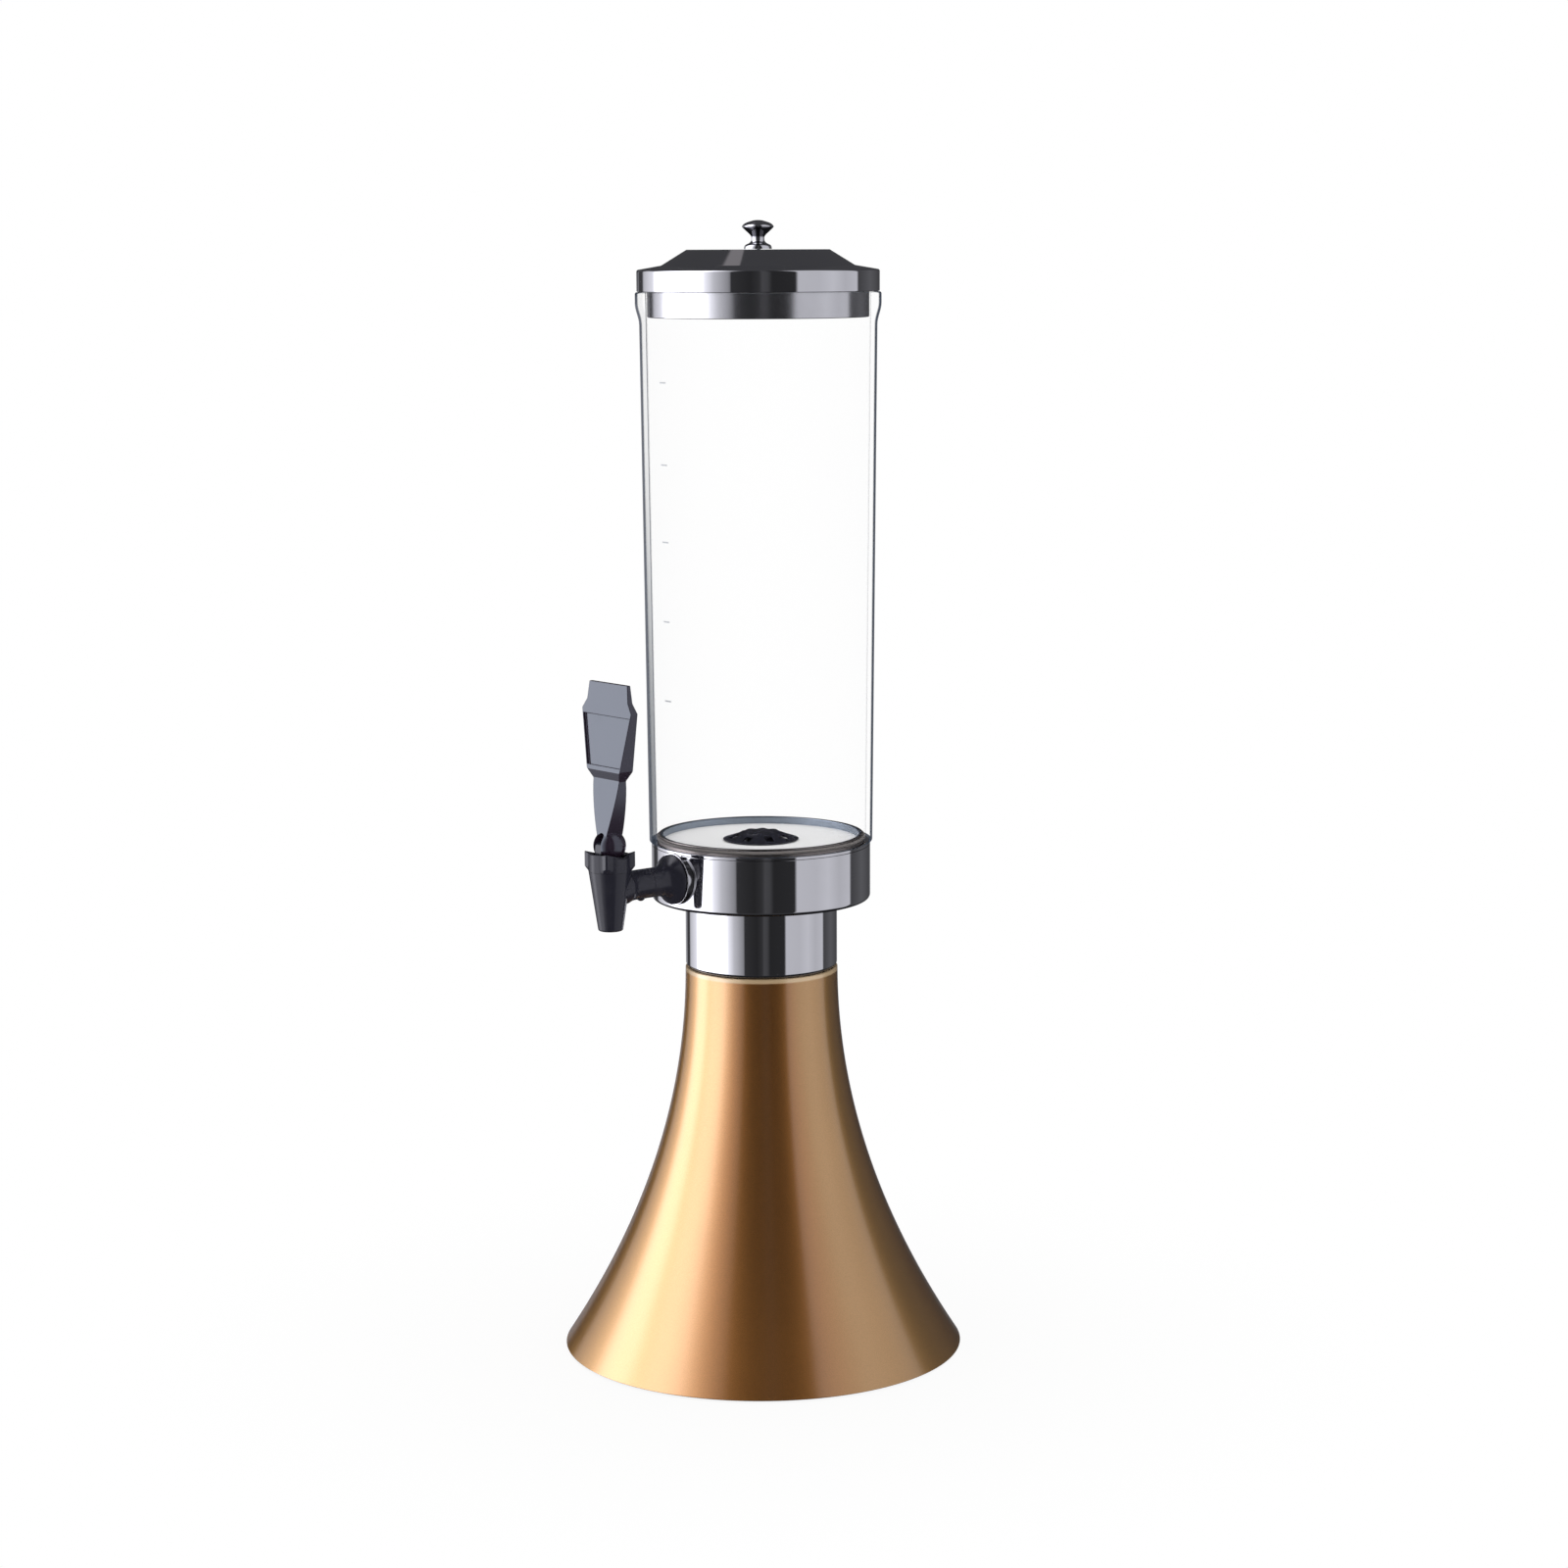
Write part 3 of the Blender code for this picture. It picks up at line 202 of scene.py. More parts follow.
# Neck collar and cup
COLLAR_BEVEL = 0.0018
COLLAR_BEVEL_ROUND = 0.0006
CUP_ROUND = 0.0024
CUP_BORE = 0.0043

# Floor of the reservoir and its spigot; the drops are measured from the spigot's top
SPIGOT_HEIGHT = 0.0040
SPIGOT_INSET = 0.0041
SPIGOT_WALL = 0.0024
GROOVE_DEPTH = 0.0010
GROOVE_DROPS = (0.0030, 0.0006)
TARNISH_INSET = 0.0051
FLOOR_THICKNESS = 0.0015
FLOOR_COAT = 0.0006
FLOOR_COAT_BED = 0.0007
STEP_WIDTH = 0.0015
STEP_DEPTH = 0.0022
DRAIN_HOLE = 0.0083

# Lid and knob; the knob's shares are of its radius and its height
LID_SHOULDER = 0.0118
LID_CONE_FOOT = 0.0142
LID_CONE_RADIUS = 0.0536
LID_CROWN_RADIUS = 0.0396
LID_CROWN_ROUND = 0.0008
LID_ROUND = 0.0012
LID_RING_ROUND = 0.0004
SCREW_BORE = 0.0018
SCREW_SHARE = 0.52
SKIRT_CLEARANCE = 0.0009
SKIRT_WALL = 0.0015
KNOB_FOOT = 0.0077
KNOB_HEAD_SHARES = (
    (0.000, 1.000), (0.150, 0.997), (0.300, 0.984), (0.494, 0.954), (0.670, 0.922), (0.809, 0.888),
    (0.900, 0.852), (0.951, 0.822), (0.985, 0.796), (1.000, 0.772), (0.985, 0.748), (0.930, 0.715),
    (0.732, 0.611), (0.560, 0.525), (0.470, 0.470), (0.425, 0.430), (0.405, 0.390),
)
KNOB_FOOT_SHARES = (
    (0.462, 0.330), (0.480, 0.290), (0.540, 0.240), (0.660, 0.195), (0.840, 0.155), (0.930, 0.125),
    (0.975, 0.090), (1.000, 0.020), (1.000, 0.0),
)

# Spans over which grain, clouds and handling marks go from least to most
GRAIN_SPAN = (0.2, 0.8)
CLOUD_SPAN = (0.3, 0.7)
MARK_SPAN = (0.0, 1.0)

# Gold: each flake has a darker and a lighter tone, and flips as it turns away
BROWN_FLAKE = ((0.65, 0.262, 0.055), (0.79, 0.322, 0.074))
PALE_FLAKE = ((0.66, 0.362, 0.115), (0.80, 0.440, 0.150))
FLAKE_FLIP = (0.03, 0.17)
# Painted highlight along the bell's top lip: its pale colour, and the drops below the top over which it comes
# in
PAINTED_LIP_HIGHLIGHT = (0.82, 0.60, 0.35)
LIP_HIGHLIGHT_DROPS = (0.0032, 0.0018)

# Painted shade on bright plate: how far down a face points before it is painted dark, and the dark colour there
SHADED_UNDERSIDE_TURN = (-0.55, -0.15)
PAINTED_UNDERSIDE_SHADE = (0.10, 0.10, 0.11)

# How dense each face of the clear wall looks, by how far it turns from the eye
BORE_DENSITY = ((0.0, 0.001), (0.80, 0.01), (0.86, 0.15), (0.91, 0.65), (1.0, 0.80))
EDGE_DENSITY = ((0.0, 0.001), (0.775, 0.01), (0.80, 0.45), (0.83, 0.95), (1.0, 0.99))
# Painted shade on the tap side of the wall, strongest at its foot: its density by turn, and the span across the
# tower where it comes in
TAP_SIDE_SHADE_DENSITY = ((0.0, 0.001), (0.63, 0.02), (0.66, 0.55), (0.75, 0.62), (0.81, 0.95), (1.0, 0.99))
TAP_SIDE = (-0.02, -0.045)
NEAR_SIDE = (0.04, -0.04)
# How far below the tube's top the painted shade on the tap side has faded to its least
TAP_SIDE_SHADE_END = 0.06

# The studio that reflections see: its brightness by degrees round from the camera, minus to the left
PANEL_LEVELS = (
    (-180, 0.32), (-157, 0.30), (-154, 0.05), (-142, 0.05), (-138, 0.55), (-118, 0.90), (-110, 2.50),
    (-94, 2.50), (-86, 1.45), (-76, 1.90), (-58, 1.90), (-51, 1.05), (-42, 0.58), (-27, 0.26), (-25.4, 0.035),
    (-16, 0.028), (-7, 0.022), (1, 0.035), (4, 0.07), (9, 0.06), (13, 0.022), (36, 0.026), (37.5, 0.55),
    (60, 0.53), (75, 0.60), (90, 0.50), (107, 0.56), (109, 0.06), (132, 0.11), (160, 0.06), (180, 0.32),
)
PANEL_TINT = (0.96, 0.96, 1.04)

# Its dark ceiling, rear, back and ground, and a small grey card: where each fades, in degrees
DARK_TINT = (0.05, 0.05, 0.055)
CEILING_RISE = (62, 78)
REAR_TURN = (112, 135)
REAR_RISE = (18, 26)
BACK_TURN = (154, 160)
BACK_RISE = (-3, 1)
BACK_FALL = (-17, -12)
GROUND_FALL = (-36, -25)
CARD_TINT = (0.20, 0.19, 0.20)
CARD_TURNS = ((-168, -166.7), (-160.5, -159))
CARD_RISES = ((52, 54), (65, 68))

# Table top: its size, and how its shadow fades away from the object
TABLE_RADIUS = 1.1
TABLE_PAINT = (0.9, 0.9, 0.9)
SHADOW_FADE = (0.12, 0.40)
SHADOW_SHARE = 0.10


def low(node):
    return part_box(node)[0].z


def high(node):
    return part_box(node)[1].z


def reach(node):
    """Outer radius of a node that is turned about the tower's axis."""
    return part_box(node)[1].x


def arc_corner(before, corner, after, fillet):
    """Points that round one corner of an outline, with one on each straight beside the arc."""
    before, corner, after = Vector(before), Vector(corner), Vector(after)
    back, ahead = before - corner, after - corner
    half = back.angle(ahead) / 2
    cut = min(fillet / math.tan(half), 0.48 * back.length, 0.48 * ahead.length)
    radius = cut * math.tan(half)
    centre = corner + (back.normalized() + ahead.normalized()).normalized() * (radius / math.sin(half))
    start = corner + back.normalized() * cut - centre
    end = corner + ahead.normalized() * cut - centre
    first = math.atan2(start.y, start.x)
    sweep = math.remainder(math.atan2(end.y, end.x) - first, math.tau)
    turns = [first + sweep * step / ARC_STEPS for step in range(ARC_STEPS + 1)]
    arc = [(centre.x + radius * math.cos(turn), centre.y + radius * math.sin(turn)) for turn in turns]
    lead = corner + back.normalized() * (cut + min(HOLD, (back.length - cut) / 3))
    trail = corner + ahead.normalized() * (cut + min(HOLD, (ahead.length - cut) / 3))
    return [tuple(lead), *arc, tuple(trail)]


def rounded(corners):
    """An outline whose corners are (radius, height) or, where rounded, (radius, height, fillet)."""
    points = []
    for index, corner in enumerate(corners):
        if len(corner) < 3:
            points.append(tuple(corner))
            continue
        before = corners[index - 1][:2]
        after = corners[(index + 1) % len(corners)][:2]
        points += arc_corner(before, corner[:2], after, corner[2])
    return points


def spaced(start, end, steps):
    return [start + (end - start) * step / steps for step in range(steps + 1)]


def placed(name, data):
    thing = bpy.data.objects.new(name, data)
    bpy.context.scene.collection.objects.link(thing)
    return thing


def settled(shape):
    """Put a bmesh's edges and faces in an order that is the same in every run."""
    shape.verts.index_update()
    for items in (shape.edges, shape.faces):
        ordered = sorted(items, key=lambda item: sorted(vert.index for vert in item.verts))
        ranks = {item: rank for rank, item in enumerate(ordered)}
        items.sort(key=ranks.get)


def welded(name, shape):
    """Weld a bmesh, turn its faces outwards, and make it a new object's mesh."""
    bmesh.ops.remove_doubles(shape, verts=shape.verts, dist=WELD)
    settled(shape)
    bmesh.ops.recalc_face_normals(shape, faces=shape.faces)
    mesh = bpy.data.meshes.new(name)
    shape.to_mesh(mesh)
    shape.free()
    return placed(name, mesh)


def finished(name, shape, material, body, slot, *replaced):
    """Make a bmesh a smooth piece of a body, in place of the named nodes."""
    piece = welded(name, shape)
    piece.data.shade_smooth()
    piece.data.set_sharp_from_angle(angle=math.radians(CREASE_DEGREES))
    piece.data.materials.append(material)
    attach(piece, body)
    if replaced:
        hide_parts(*replaced)
    return piece


def turned_shape(outline, steps=FINE_STEPS, closed=True):
    """A bmesh spun about the Z axis from an outline of (radius, height) points."""
    shape = bmesh.new()
    points = [shape.verts.new((radius, 0, height)) for radius, height in outline]
    pairs = list(zip(points, points[1:]))
    if closed:
        pairs.append((points[-1], points[0]))
    edges = [shape.edges.new(pair) for pair in pairs]
    bmesh.ops.spin(
        shape, geom=points + edges, cent=(0, 0, 0), axis=(0, 0, 1), angle=math.tau, steps=steps,
        use_merge=True,
    )
    return shape


def turned(name, outline, material, body, slot, *replaced, steps=FINE_STEPS, closed=True):
    return finished(name, turned_shape(outline, steps, closed), material, body, slot, *replaced)


def fenced(shape, lower, upper, sides=range(4)):
    """Four-cornered faces between two loops of four points, on some of their sides."""
    for index in sides:
        after = (index + 1) % 4
        shape.faces.new((lower[index], lower[after], upper[after], upper[index]))


def new_group(name, output, **inputs):
    """A shader node group of plain numbers; returns its tree, its input node and its output node."""
    tree = bpy.data.node_groups.new(name, "ShaderNodeTree")
    for socket, value in inputs.items():
        made = tree.interface.new_socket(name=socket, in_out="INPUT", socket_type="NodeSocketFloat")
        made.default_value = value
    tree.interface.new_socket(name=output, in_out="OUTPUT", socket_type="NodeSocketFloat")
    return tree, tree.nodes.new("NodeGroupInput"), tree.nodes.new("NodeGroupOutput")


def fill(tree, sockets, operands):
    """Give sockets, in turn, a link, a colour or a number; None leaves one as it is."""
    for socket, operand in zip(sockets, operands):
        if isinstance(operand, bpy.types.NodeSocket):
            tree.links.new(operand, socket)
        elif operand is not None:
            socket.default_value = (*operand, 1.0) if isinstance(operand, tuple) else operand


def join(tree, node, **sockets):
    """Fill a node's inputs by name."""
    fill(tree, [node.inputs[key.replace("_", " ")] for key in sockets], sockets.values())


def put(tree, kind, **settings):
    """Add a node, and set its properties and its inputs by name."""
    node = tree.nodes.new(kind)
    for key in [key for key in settings if hasattr(node, key)]:
        setattr(node, key, settings.pop(key))
    join(tree, node, **settings)
    return node


def maths(tree, operation, first, second=None, clamp=False):
    """A Math node whose operands are sockets or numbers."""
    node = put(tree, "ShaderNodeMath", operation=operation, use_clamp=clamp)
    fill(tree, node.inputs, (first, second))
    return node.outputs[0]


def ranged(tree, value, from_low, from_high, to_low=0.0, to_high=1.0, smooth=True):
    """A Map Range node on a socket."""
    node = put(tree, "ShaderNodeMapRange", interpolation_type="SMOOTHSTEP" if smooth else "LINEAR")
    fill(tree, node.inputs, (value, from_low, from_high, to_low, to_high))
    return node.outputs[0]


def blended(tree, factor, first, second, mode="MIX"):
    """A colour Mix node whose colours are sockets or tuples."""
    node = put(tree, "ShaderNodeMix", data_type="RGBA", blend_type=mode)
    fill(tree, (node.inputs[0], node.inputs[6], node.inputs[7]), (factor, first, second))
    return node.outputs[2]


def ramped(tree, factor, levels, shade=(1.0, 1.0, 1.0)):
    """A Color Ramp on a socket, from pairs of place and level."""
    node = put(tree, "ShaderNodeValToRGB", Fac=factor)
    stops = node.color_ramp.elements
    while len(stops) > 1:
        stops.remove(stops[-1])
    for index, (place, level) in enumerate(levels):
        stop = stops[0] if index == 0 else stops.new(place)
        stop.position = place
        stop.color = (*(level * share for share in shade), 1.0)
    return node.outputs["Color"]


def coordinates(tree, kind="Object"):
    return put(tree, "ShaderNodeTexCoord").outputs[kind]


def apart(tree, vector):
    """X, Y and Z of a vector, as sockets."""
    return put(tree, "ShaderNodeSeparateXYZ", Vector=vector).outputs


def from_axis(tree):
    """Distance from the tower's axis, as a socket."""
    across, deep, _ = apart(tree, coordinates(tree))
    squares = [maths(tree, "MULTIPLY", side, side) for side in (across, deep)]
    return maths(tree, "SQRT", maths(tree, "ADD", *squares))


def make_speckle():
    """Fine grain: a value round 0.5 that varies at a real size in metres."""
    tree, start, end = new_group("fine_grain", "Value", Size=0.0002, Detail=2.0)
    scale = maths(tree, "DIVIDE", 1.0, start.outputs["Size"])
    noise = put(
        tree, "ShaderNodeTexNoise", Vector=coordinates(tree), Scale=scale, Detail=start.outputs["Detail"],
    )
    join(tree, end, Value=noise.outputs["Fac"])
    return tree


def make_smudges():
    """Handling marks: soft cloudy patches, broken up by a finer cloud."""
    tree, start, end = new_group("handling_marks", "Mask", Size=0.03, Cover=0.5)
    place = coordinates(tree)
    scale = maths(tree, "DIVIDE", 1.0, start.outputs["Size"])
    finer = maths(tree, "MULTIPLY", scale, 7.0)
    broad = put(tree, "ShaderNodeTexNoise", Vector=place, Scale=scale, Detail=3.0, Roughness=0.6)
    fine = put(tree, "ShaderNodeTexNoise", Vector=place, Scale=finer, Detail=4.0, Roughness=0.7)
    level = maths(tree, "SUBTRACT", 1.0, start.outputs["Cover"])
    patches = maths(tree, "SUBTRACT", broad.outputs["Fac"], maths(tree, "MULTIPLY", level, 0.9))
    strong = maths(tree, "MULTIPLY", patches, 5.0, clamp=True)
    join(tree, end, Mask=maths(tree, "MULTIPLY", strong, fine.outputs["Fac"]))
    return tree


def make_hairlines():
    """Hairline scratches that run round a turned piece, as a height."""
    tree, start, end = new_group("turning_hairlines", "Height", Spacing=0.0004, Along=0.03)
    across, deep, height = apart(tree, coordinates(tree))
    radius = from_axis(tree)
    angle = maths(tree, "ARCTAN2", deep, across)
    line = maths(tree, "DIVIDE", maths(tree, "ADD", height, radius), start.outputs["Spacing"])
    turn = maths(tree, "MULTIPLY", angle, maths(tree, "DIVIDE", radius, start.outputs["Along"]))
    place = put(tree, "ShaderNodeCombineXYZ", X=line, Y=turn).outputs[0]
    noise = put(tree, "ShaderNodeTexNoise", Vector=place, Scale=1.0, Detail=2.0, Roughness=0.7)
    join(tree, end, Height=noise.outputs["Fac"])
    return tree


GRAIN = make_speckle()
MARKS = make_smudges()
HAIRLINES = make_hairlines()


def grouped(tree, group, **values):
    return put(tree, "ShaderNodeGroup", node_tree=group, **values).outputs[0]


def new_material(name, **sockets):
    """A material and its Principled shader, with plain values set on the shader's own sockets."""
    material = bpy.data.materials.new(name)
    material.use_nodes = True
    tree = material.node_tree
    shader = tree.nodes["Principled BSDF"]
    join(tree, shader, **sockets)
    return material, tree, shader


def tint(tree, shader, pattern, first, second):
    """Base colour that goes between two tones as a pattern does."""
    join(tree, shader, Base_Color=blended(tree, pattern, first, second))


def roughen(tree, shader, pattern, span, least, most):
    """Roughness that rises from least to most as a pattern goes through its span."""
    join(tree, shader, Roughness=ranged(tree, pattern, *span, least, most, smooth=False))


def bump(tree, shader, height, strength, distance):
    node = put(tree, "ShaderNodeBump", Strength=strength, Distance=distance, Height=height)
    join(tree, shader, Normal=node.outputs["Normal"])


def make_gold():
    """Satin gold flake under a clear coat: brown towards the eye, with a painted pale highlight round its top
    lip.
    """
    material, tree, shader = new_material(
        "satin_gold", Coat_Weight=0.9, Coat_Roughness=0.15, Coat_IOR=2.1,
        Specular_Tint=(0.26, 0.15, 0.07),
    )
    flake = grouped(tree, GRAIN, Size=0.00035)
    cloud = grouped(tree, GRAIN, Size=0.05)
    marks = grouped(tree, MARKS, Size=0.06, Cover=0.45)
    turned_away = put(tree, "ShaderNodeLayerWeight", Blend=0.5).outputs["Facing"]
    glint = ranged(tree, flake, *CLOUD_SPAN)
    brown, pale = blended(tree, glint, *BROWN_FLAKE), blended(tree, glint, *PALE_FLAKE)
    coat = blended(tree, ranged(tree, turned_away, *FLAKE_FLIP), brown, pale)
    top = high("base_shell")
    height = apart(tree, coordinates(tree))["Z"]
    # painted highlight: near the top lip the gold is painted pale and made less metallic
    lip_highlight = ranged(tree, height, *(top - drop for drop in LIP_HIGHLIGHT_DROPS))
    tone = blended(tree, ranged(tree, cloud, *CLOUD_SPAN), (0.97, 0.97, 0.97), (1.0, 1.0, 1.0))
    gold = blended(tree, 1.0, blended(tree, lip_highlight, coat, PAINTED_LIP_HIGHLIGHT), tone, "MULTIPLY")
    satin = ranged(tree, flake, *GRAIN_SPAN, 0.29, 0.36, smooth=False)
    rubbed = maths(tree, "ADD", satin, maths(tree, "MULTIPLY", marks, 0.03))
    metal = ranged(tree, lip_highlight, *MARK_SPAN, 0.94, 0.50)
    join(tree, shader, Base_Color=gold, Metallic=metal, Roughness=rubbed)
    bump(tree, shader, flake, 0.08, 0.00005)
    return material


def make_plate(name, clean, lip_highlight):
    """Bright plate with faint turning lines and handling marks, and painted shade where it faces down."""
    material, tree, shader = new_material(name, Metallic=1.0)
    marks = grouped(tree, MARKS, Size=0.035, Cover=0.5)
    lines = grouped(tree, HAIRLINES, Spacing=0.0005, Along=0.04)
    # painted shade: faces that point down are coloured dark, standing in for the shade under edges and in gaps
    painted_underside_shade = ranged(tree, apart(tree, coordinates(tree, "Normal"))["Z"], *SHADED_UNDERSIDE_TURN, 1.0, 0.0)
    bright = blended(tree, marks, (0.84, 0.84, 0.86), (0.80, 0.80, 0.81))
    tint(tree, shader, painted_underside_shade, bright, PAINTED_UNDERSIDE_SHADE)
    roughen(tree, shader, marks, MARK_SPAN, clean, lip_highlight)
    bump(tree, shader, lines, 0.05, 0.00002)
    return material


def make_satin():
    """Satin plate on the spigot of the floor, tarnished to a warm grey round its outside."""
    material, tree, shader = new_material("satin_plate", Metallic=1.0)
    lines = grouped(tree, HAIRLINES, Spacing=0.0002, Along=0.03)
    fresh = blended(tree, lines, (0.27, 0.31, 0.37), (0.37, 0.42, 0.49))
    tarnished = blended(tree, lines, (0.30, 0.27, 0.25), (0.42, 0.38, 0.36))
    outside = maths(tree, "GREATER_THAN", from_axis(tree), reach("floor_tray") - TARNISH_INSET)
    tint(tree, shader, outside, fresh, tarnished)
    roughen(tree, shader, lines, GRAIN_SPAN, 0.32, 0.44)
    bump(tree, shader, lines, 0.15, 0.00003)
    return material


def make_pale():
    """Pale satin coat on the floor of the reservoir."""
    material, tree, shader = new_material("pale_floor", Specular_IOR_Level=0.1)
    lines = grouped(tree, HAIRLINES, Spacing=0.0004, Along=0.05)
    tint(tree, shader, lines, (0.97, 0.97, 0.975), (1.0, 1.0, 1.0))
    roughen(tree, shader, lines, GRAIN_SPAN, 0.40, 0.50)
    bump(tree, shader, lines, 0.05, 0.00002)
    return material


def make_steel():
    """Plain bright steel with turning lines, for what lies inside and below."""
    material, tree, shader = new_material("plain_steel", Metallic=1.0)
    lines = grouped(tree, HAIRLINES, Spacing=0.0003, Along=0.02)
    marks = grouped(tree, MARKS, Size=0.02, Cover=0.5)
    tint(tree, shader, ranged(tree, lines, *CLOUD_SPAN), (0.48, 0.49, 0.50), (0.62, 0.63, 0.64))
    roughen(tree, shader, marks, MARK_SPAN, 0.28, 0.42)
    bump(tree, shader, lines, 0.2, 0.00003)
    return material


def make_iron():
    """Rough casting under dark paint."""
    material, tree, shader = new_material("cast_iron", Metallic=0.5)
    grain = grouped(tree, GRAIN, Size=0.0012, Detail=5.0)
    tint(tree, shader, grain, (0.06, 0.06, 0.065), (0.14, 0.14, 0.145))
    roughen(tree, shader, grain, GRAIN_SPAN, 0.6, 0.85)
    bump(tree, shader, grain, 0.6, 0.0004)
    return material


def make_moulding(name, marks, cover, skin, tones, roughness, relief, soft=False, **sockets):
    """A moulding with marks and a fine skin: a soft one is as rough as its skin, a hard one as its marks."""
    material, tree, shader = new_material(name, **sockets)
    scuffs = grouped(tree, MARKS, Size=marks, Cover=cover)
    grain = grouped(tree, GRAIN, Size=skin, Detail=2.0 if soft else 1.0)
    tint(tree, shader, scuffs, *tones)
    pattern, span = (grain, GRAIN_SPAN) if soft else (scuffs, MARK_SPAN)
    roughen(tree, shader, pattern, span, *roughness)
    bump(tree, shader, grain, *relief)
    return material


def make_silicone():
    """Milky soft silicone."""
    material, tree, shader = new_material("milky_silicone", Specular_IOR_Level=0.45)
    cloud = grouped(tree, GRAIN, Size=0.006, Detail=3.0)
    tint(tree, shader, cloud, (0.66, 0.68, 0.69), (0.80, 0.81, 0.82))
    roughen(tree, shader, cloud, GRAIN_SPAN, 0.35, 0.5)
    bump(tree, shader, grouped(tree, GRAIN, Size=0.0006), 0.1, 0.00005)
    return material


def make_clear():
    """Clear moulded plastic: hardly there seen straight on, grey-blue where a wall is seen along, with painted
    shade on the tap side towards its foot.
    """
    material, tree, shader = new_material("clear_plastic", IOR=1.25)
    marks = grouped(tree, MARKS, Size=0.04, Cover=0.4)
    wave = grouped(tree, GRAIN, Size=0.05, Detail=1.0)
    _, deep, height = apart(tree, coordinates(tree))
    foot, top = low("reservoir_tube"), high("reservoir_tube")
    start = TUBE_FOOT - TUBE_DRAFT * foot - WALL / 2
    middle = maths(tree, "ADD", maths(tree, "MULTIPLY", height, TUBE_DRAFT), start)
    outer = maths(tree, "GREATER_THAN", from_axis(tree), middle)
    facing = put(tree, "ShaderNodeLayerWeight", Blend=0.5).outputs["Facing"]
    densities = (BORE_DENSITY, EDGE_DENSITY, TAP_SIDE_SHADE_DENSITY)
    bore, edge, shaded_wall = (ramped(tree, facing, density) for density in densities)
    rising = ranged(tree, height, foot, top - TAP_SIDE_SHADE_END, 1.0, 0.12)
    # painted shade: the wall on the tap side is drawn denser, most at its foot
    tap_side_shade = maths(tree, "MULTIPLY", ranged(tree, deep, *TAP_SIDE), rising)
    wall = blended(tree, tap_side_shade, edge, shaded_wall)
    thin = maths(tree, "MULTIPLY", bore, ranged(tree, deep, *NEAR_SIDE, 0.25, 1.0))
    density = blended(tree, outer, thin, wall)
    join(tree, shader, Alpha=maths(tree, "ADD", density, maths(tree, "MULTIPLY", marks, 0.003)))
    tint(tree, shader, marks, (0.055, 0.075, 0.110), (0.075, 0.098, 0.135))
    roughen(tree, shader, marks, MARK_SPAN, 0.02, 0.06)
    bump(tree, shader, wave, 0.05, 0.0005)
    return material


def make_print():
    """Grey screen-printed ink of the level marks."""
    material, tree, shader = new_material("grey_ink", Roughness=0.5)
    patchy = grouped(tree, GRAIN, Size=0.0004, Detail=3.0)
    tint(tree, shader, patchy, (0.44, 0.46, 0.49), (0.62, 0.64, 0.67))
    return material


GOLD = make_gold()
CHROME = make_plate("bright_chrome", clean=0.035, lip_highlight=0.11)
SOFT_CHROME = make_plate("soft_chrome", clean=0.17, lip_highlight=0.24)
SATIN = make_satin()
PALE = make_pale()
STEEL = make_steel()
IRON = make_iron()
RUBBER = make_moulding(
    "black_rubber", marks=0.008, cover=0.6, skin=0.0003, tones=((0.018, 0.018, 0.019), (0.045, 0.045, 0.047)),
    roughness=(0.6, 0.8), relief=(0.3, 0.00008), soft=True, Specular_IOR_Level=0.35,
)
SILICONE = make_silicone()
CLEAR = make_clear()
GREY_SEAL = make_moulding(
    "grey_seal", marks=0.01, cover=0.4, skin=0.0008, tones=((0.19, 0.175, 0.17), (0.24, 0.22, 0.215)),
    roughness=(0.42, 0.55), relief=(0.1, 0.00004), soft=True, IOR=1.41,
)
GLOSS = make_moulding(
    "dark_gloss", marks=0.015, cover=0.4, skin=0.0016, tones=((0.020, 0.012, 0.022), (0.026, 0.018, 0.030)),
    roughness=(0.16, 0.26), relief=(0.06, 0.00005), IOR=1.95, Specular_Tint=(0.79, 0.90, 1.0),
)
BLACK = make_moulding(
    "black_moulding", marks=0.012, cover=0.45, skin=0.0012,
    tones=((0.016, 0.016, 0.025), (0.024, 0.024, 0.034)), roughness=(0.20, 0.34), relief=(0.10, 0.00006),
    IOR=1.50,
)
INK = make_print()
SLOT_MATERIALS = {
    "gold": GOLD, "chrome": CHROME, "steel": STEEL, "iron": IRON, "rubber": RUBBER, "silicone": SILICONE,
    "clear": CLEAR, "black": BLACK,
}


def dress_cad_nodes():
    """Every node takes its slot's material; what shows is then replaced by a finer piece."""
    for part in frame["record"]["subparts"]:
        mesh = nodes[part["node"]].data
        mesh.materials.clear()
        mesh.materials.append(SLOT_MATERIALS[part["material_slot"]])


def make_bell():
    """The spun trumpet, with a rolled foot and a soft lip under the collar."""
    neck = reach("neck_collar") + GAP
    foot, top = low("base_shell"), high("base_shell")

    def radius(height):
        return neck + (BELL_FOOT - neck) * (1 - height / top) ** BELL_POWER

    outer = [(radius(height), height) for height in spaced(top - BELL_LIP, foot + BELL_ROLL, BELL_POINTS)]
    under, wall = top - SHEET, SHEET * 1.25
    inner = [
        (radius(height) - wall, height)
        for height in spaced(foot + BELL_ROLL, under - BELL_LIP, BELL_POINTS)
    ]
    hem = radius(foot) - BELL_HEM
    ledge = neck - BELL_LEDGE
    turned("gold_bell", rounded([
        (ledge, top), (neck, top, BELL_LIP * 0.85), *outer, (radius(foot), foot, BELL_ROLL),
        (hem, foot, BELL_ROLL / 2), (hem, foot + SHEET), *inner, (neck - wall, under), (ledge, under),
    ]), GOLD, "stand", "gold", "base_shell")


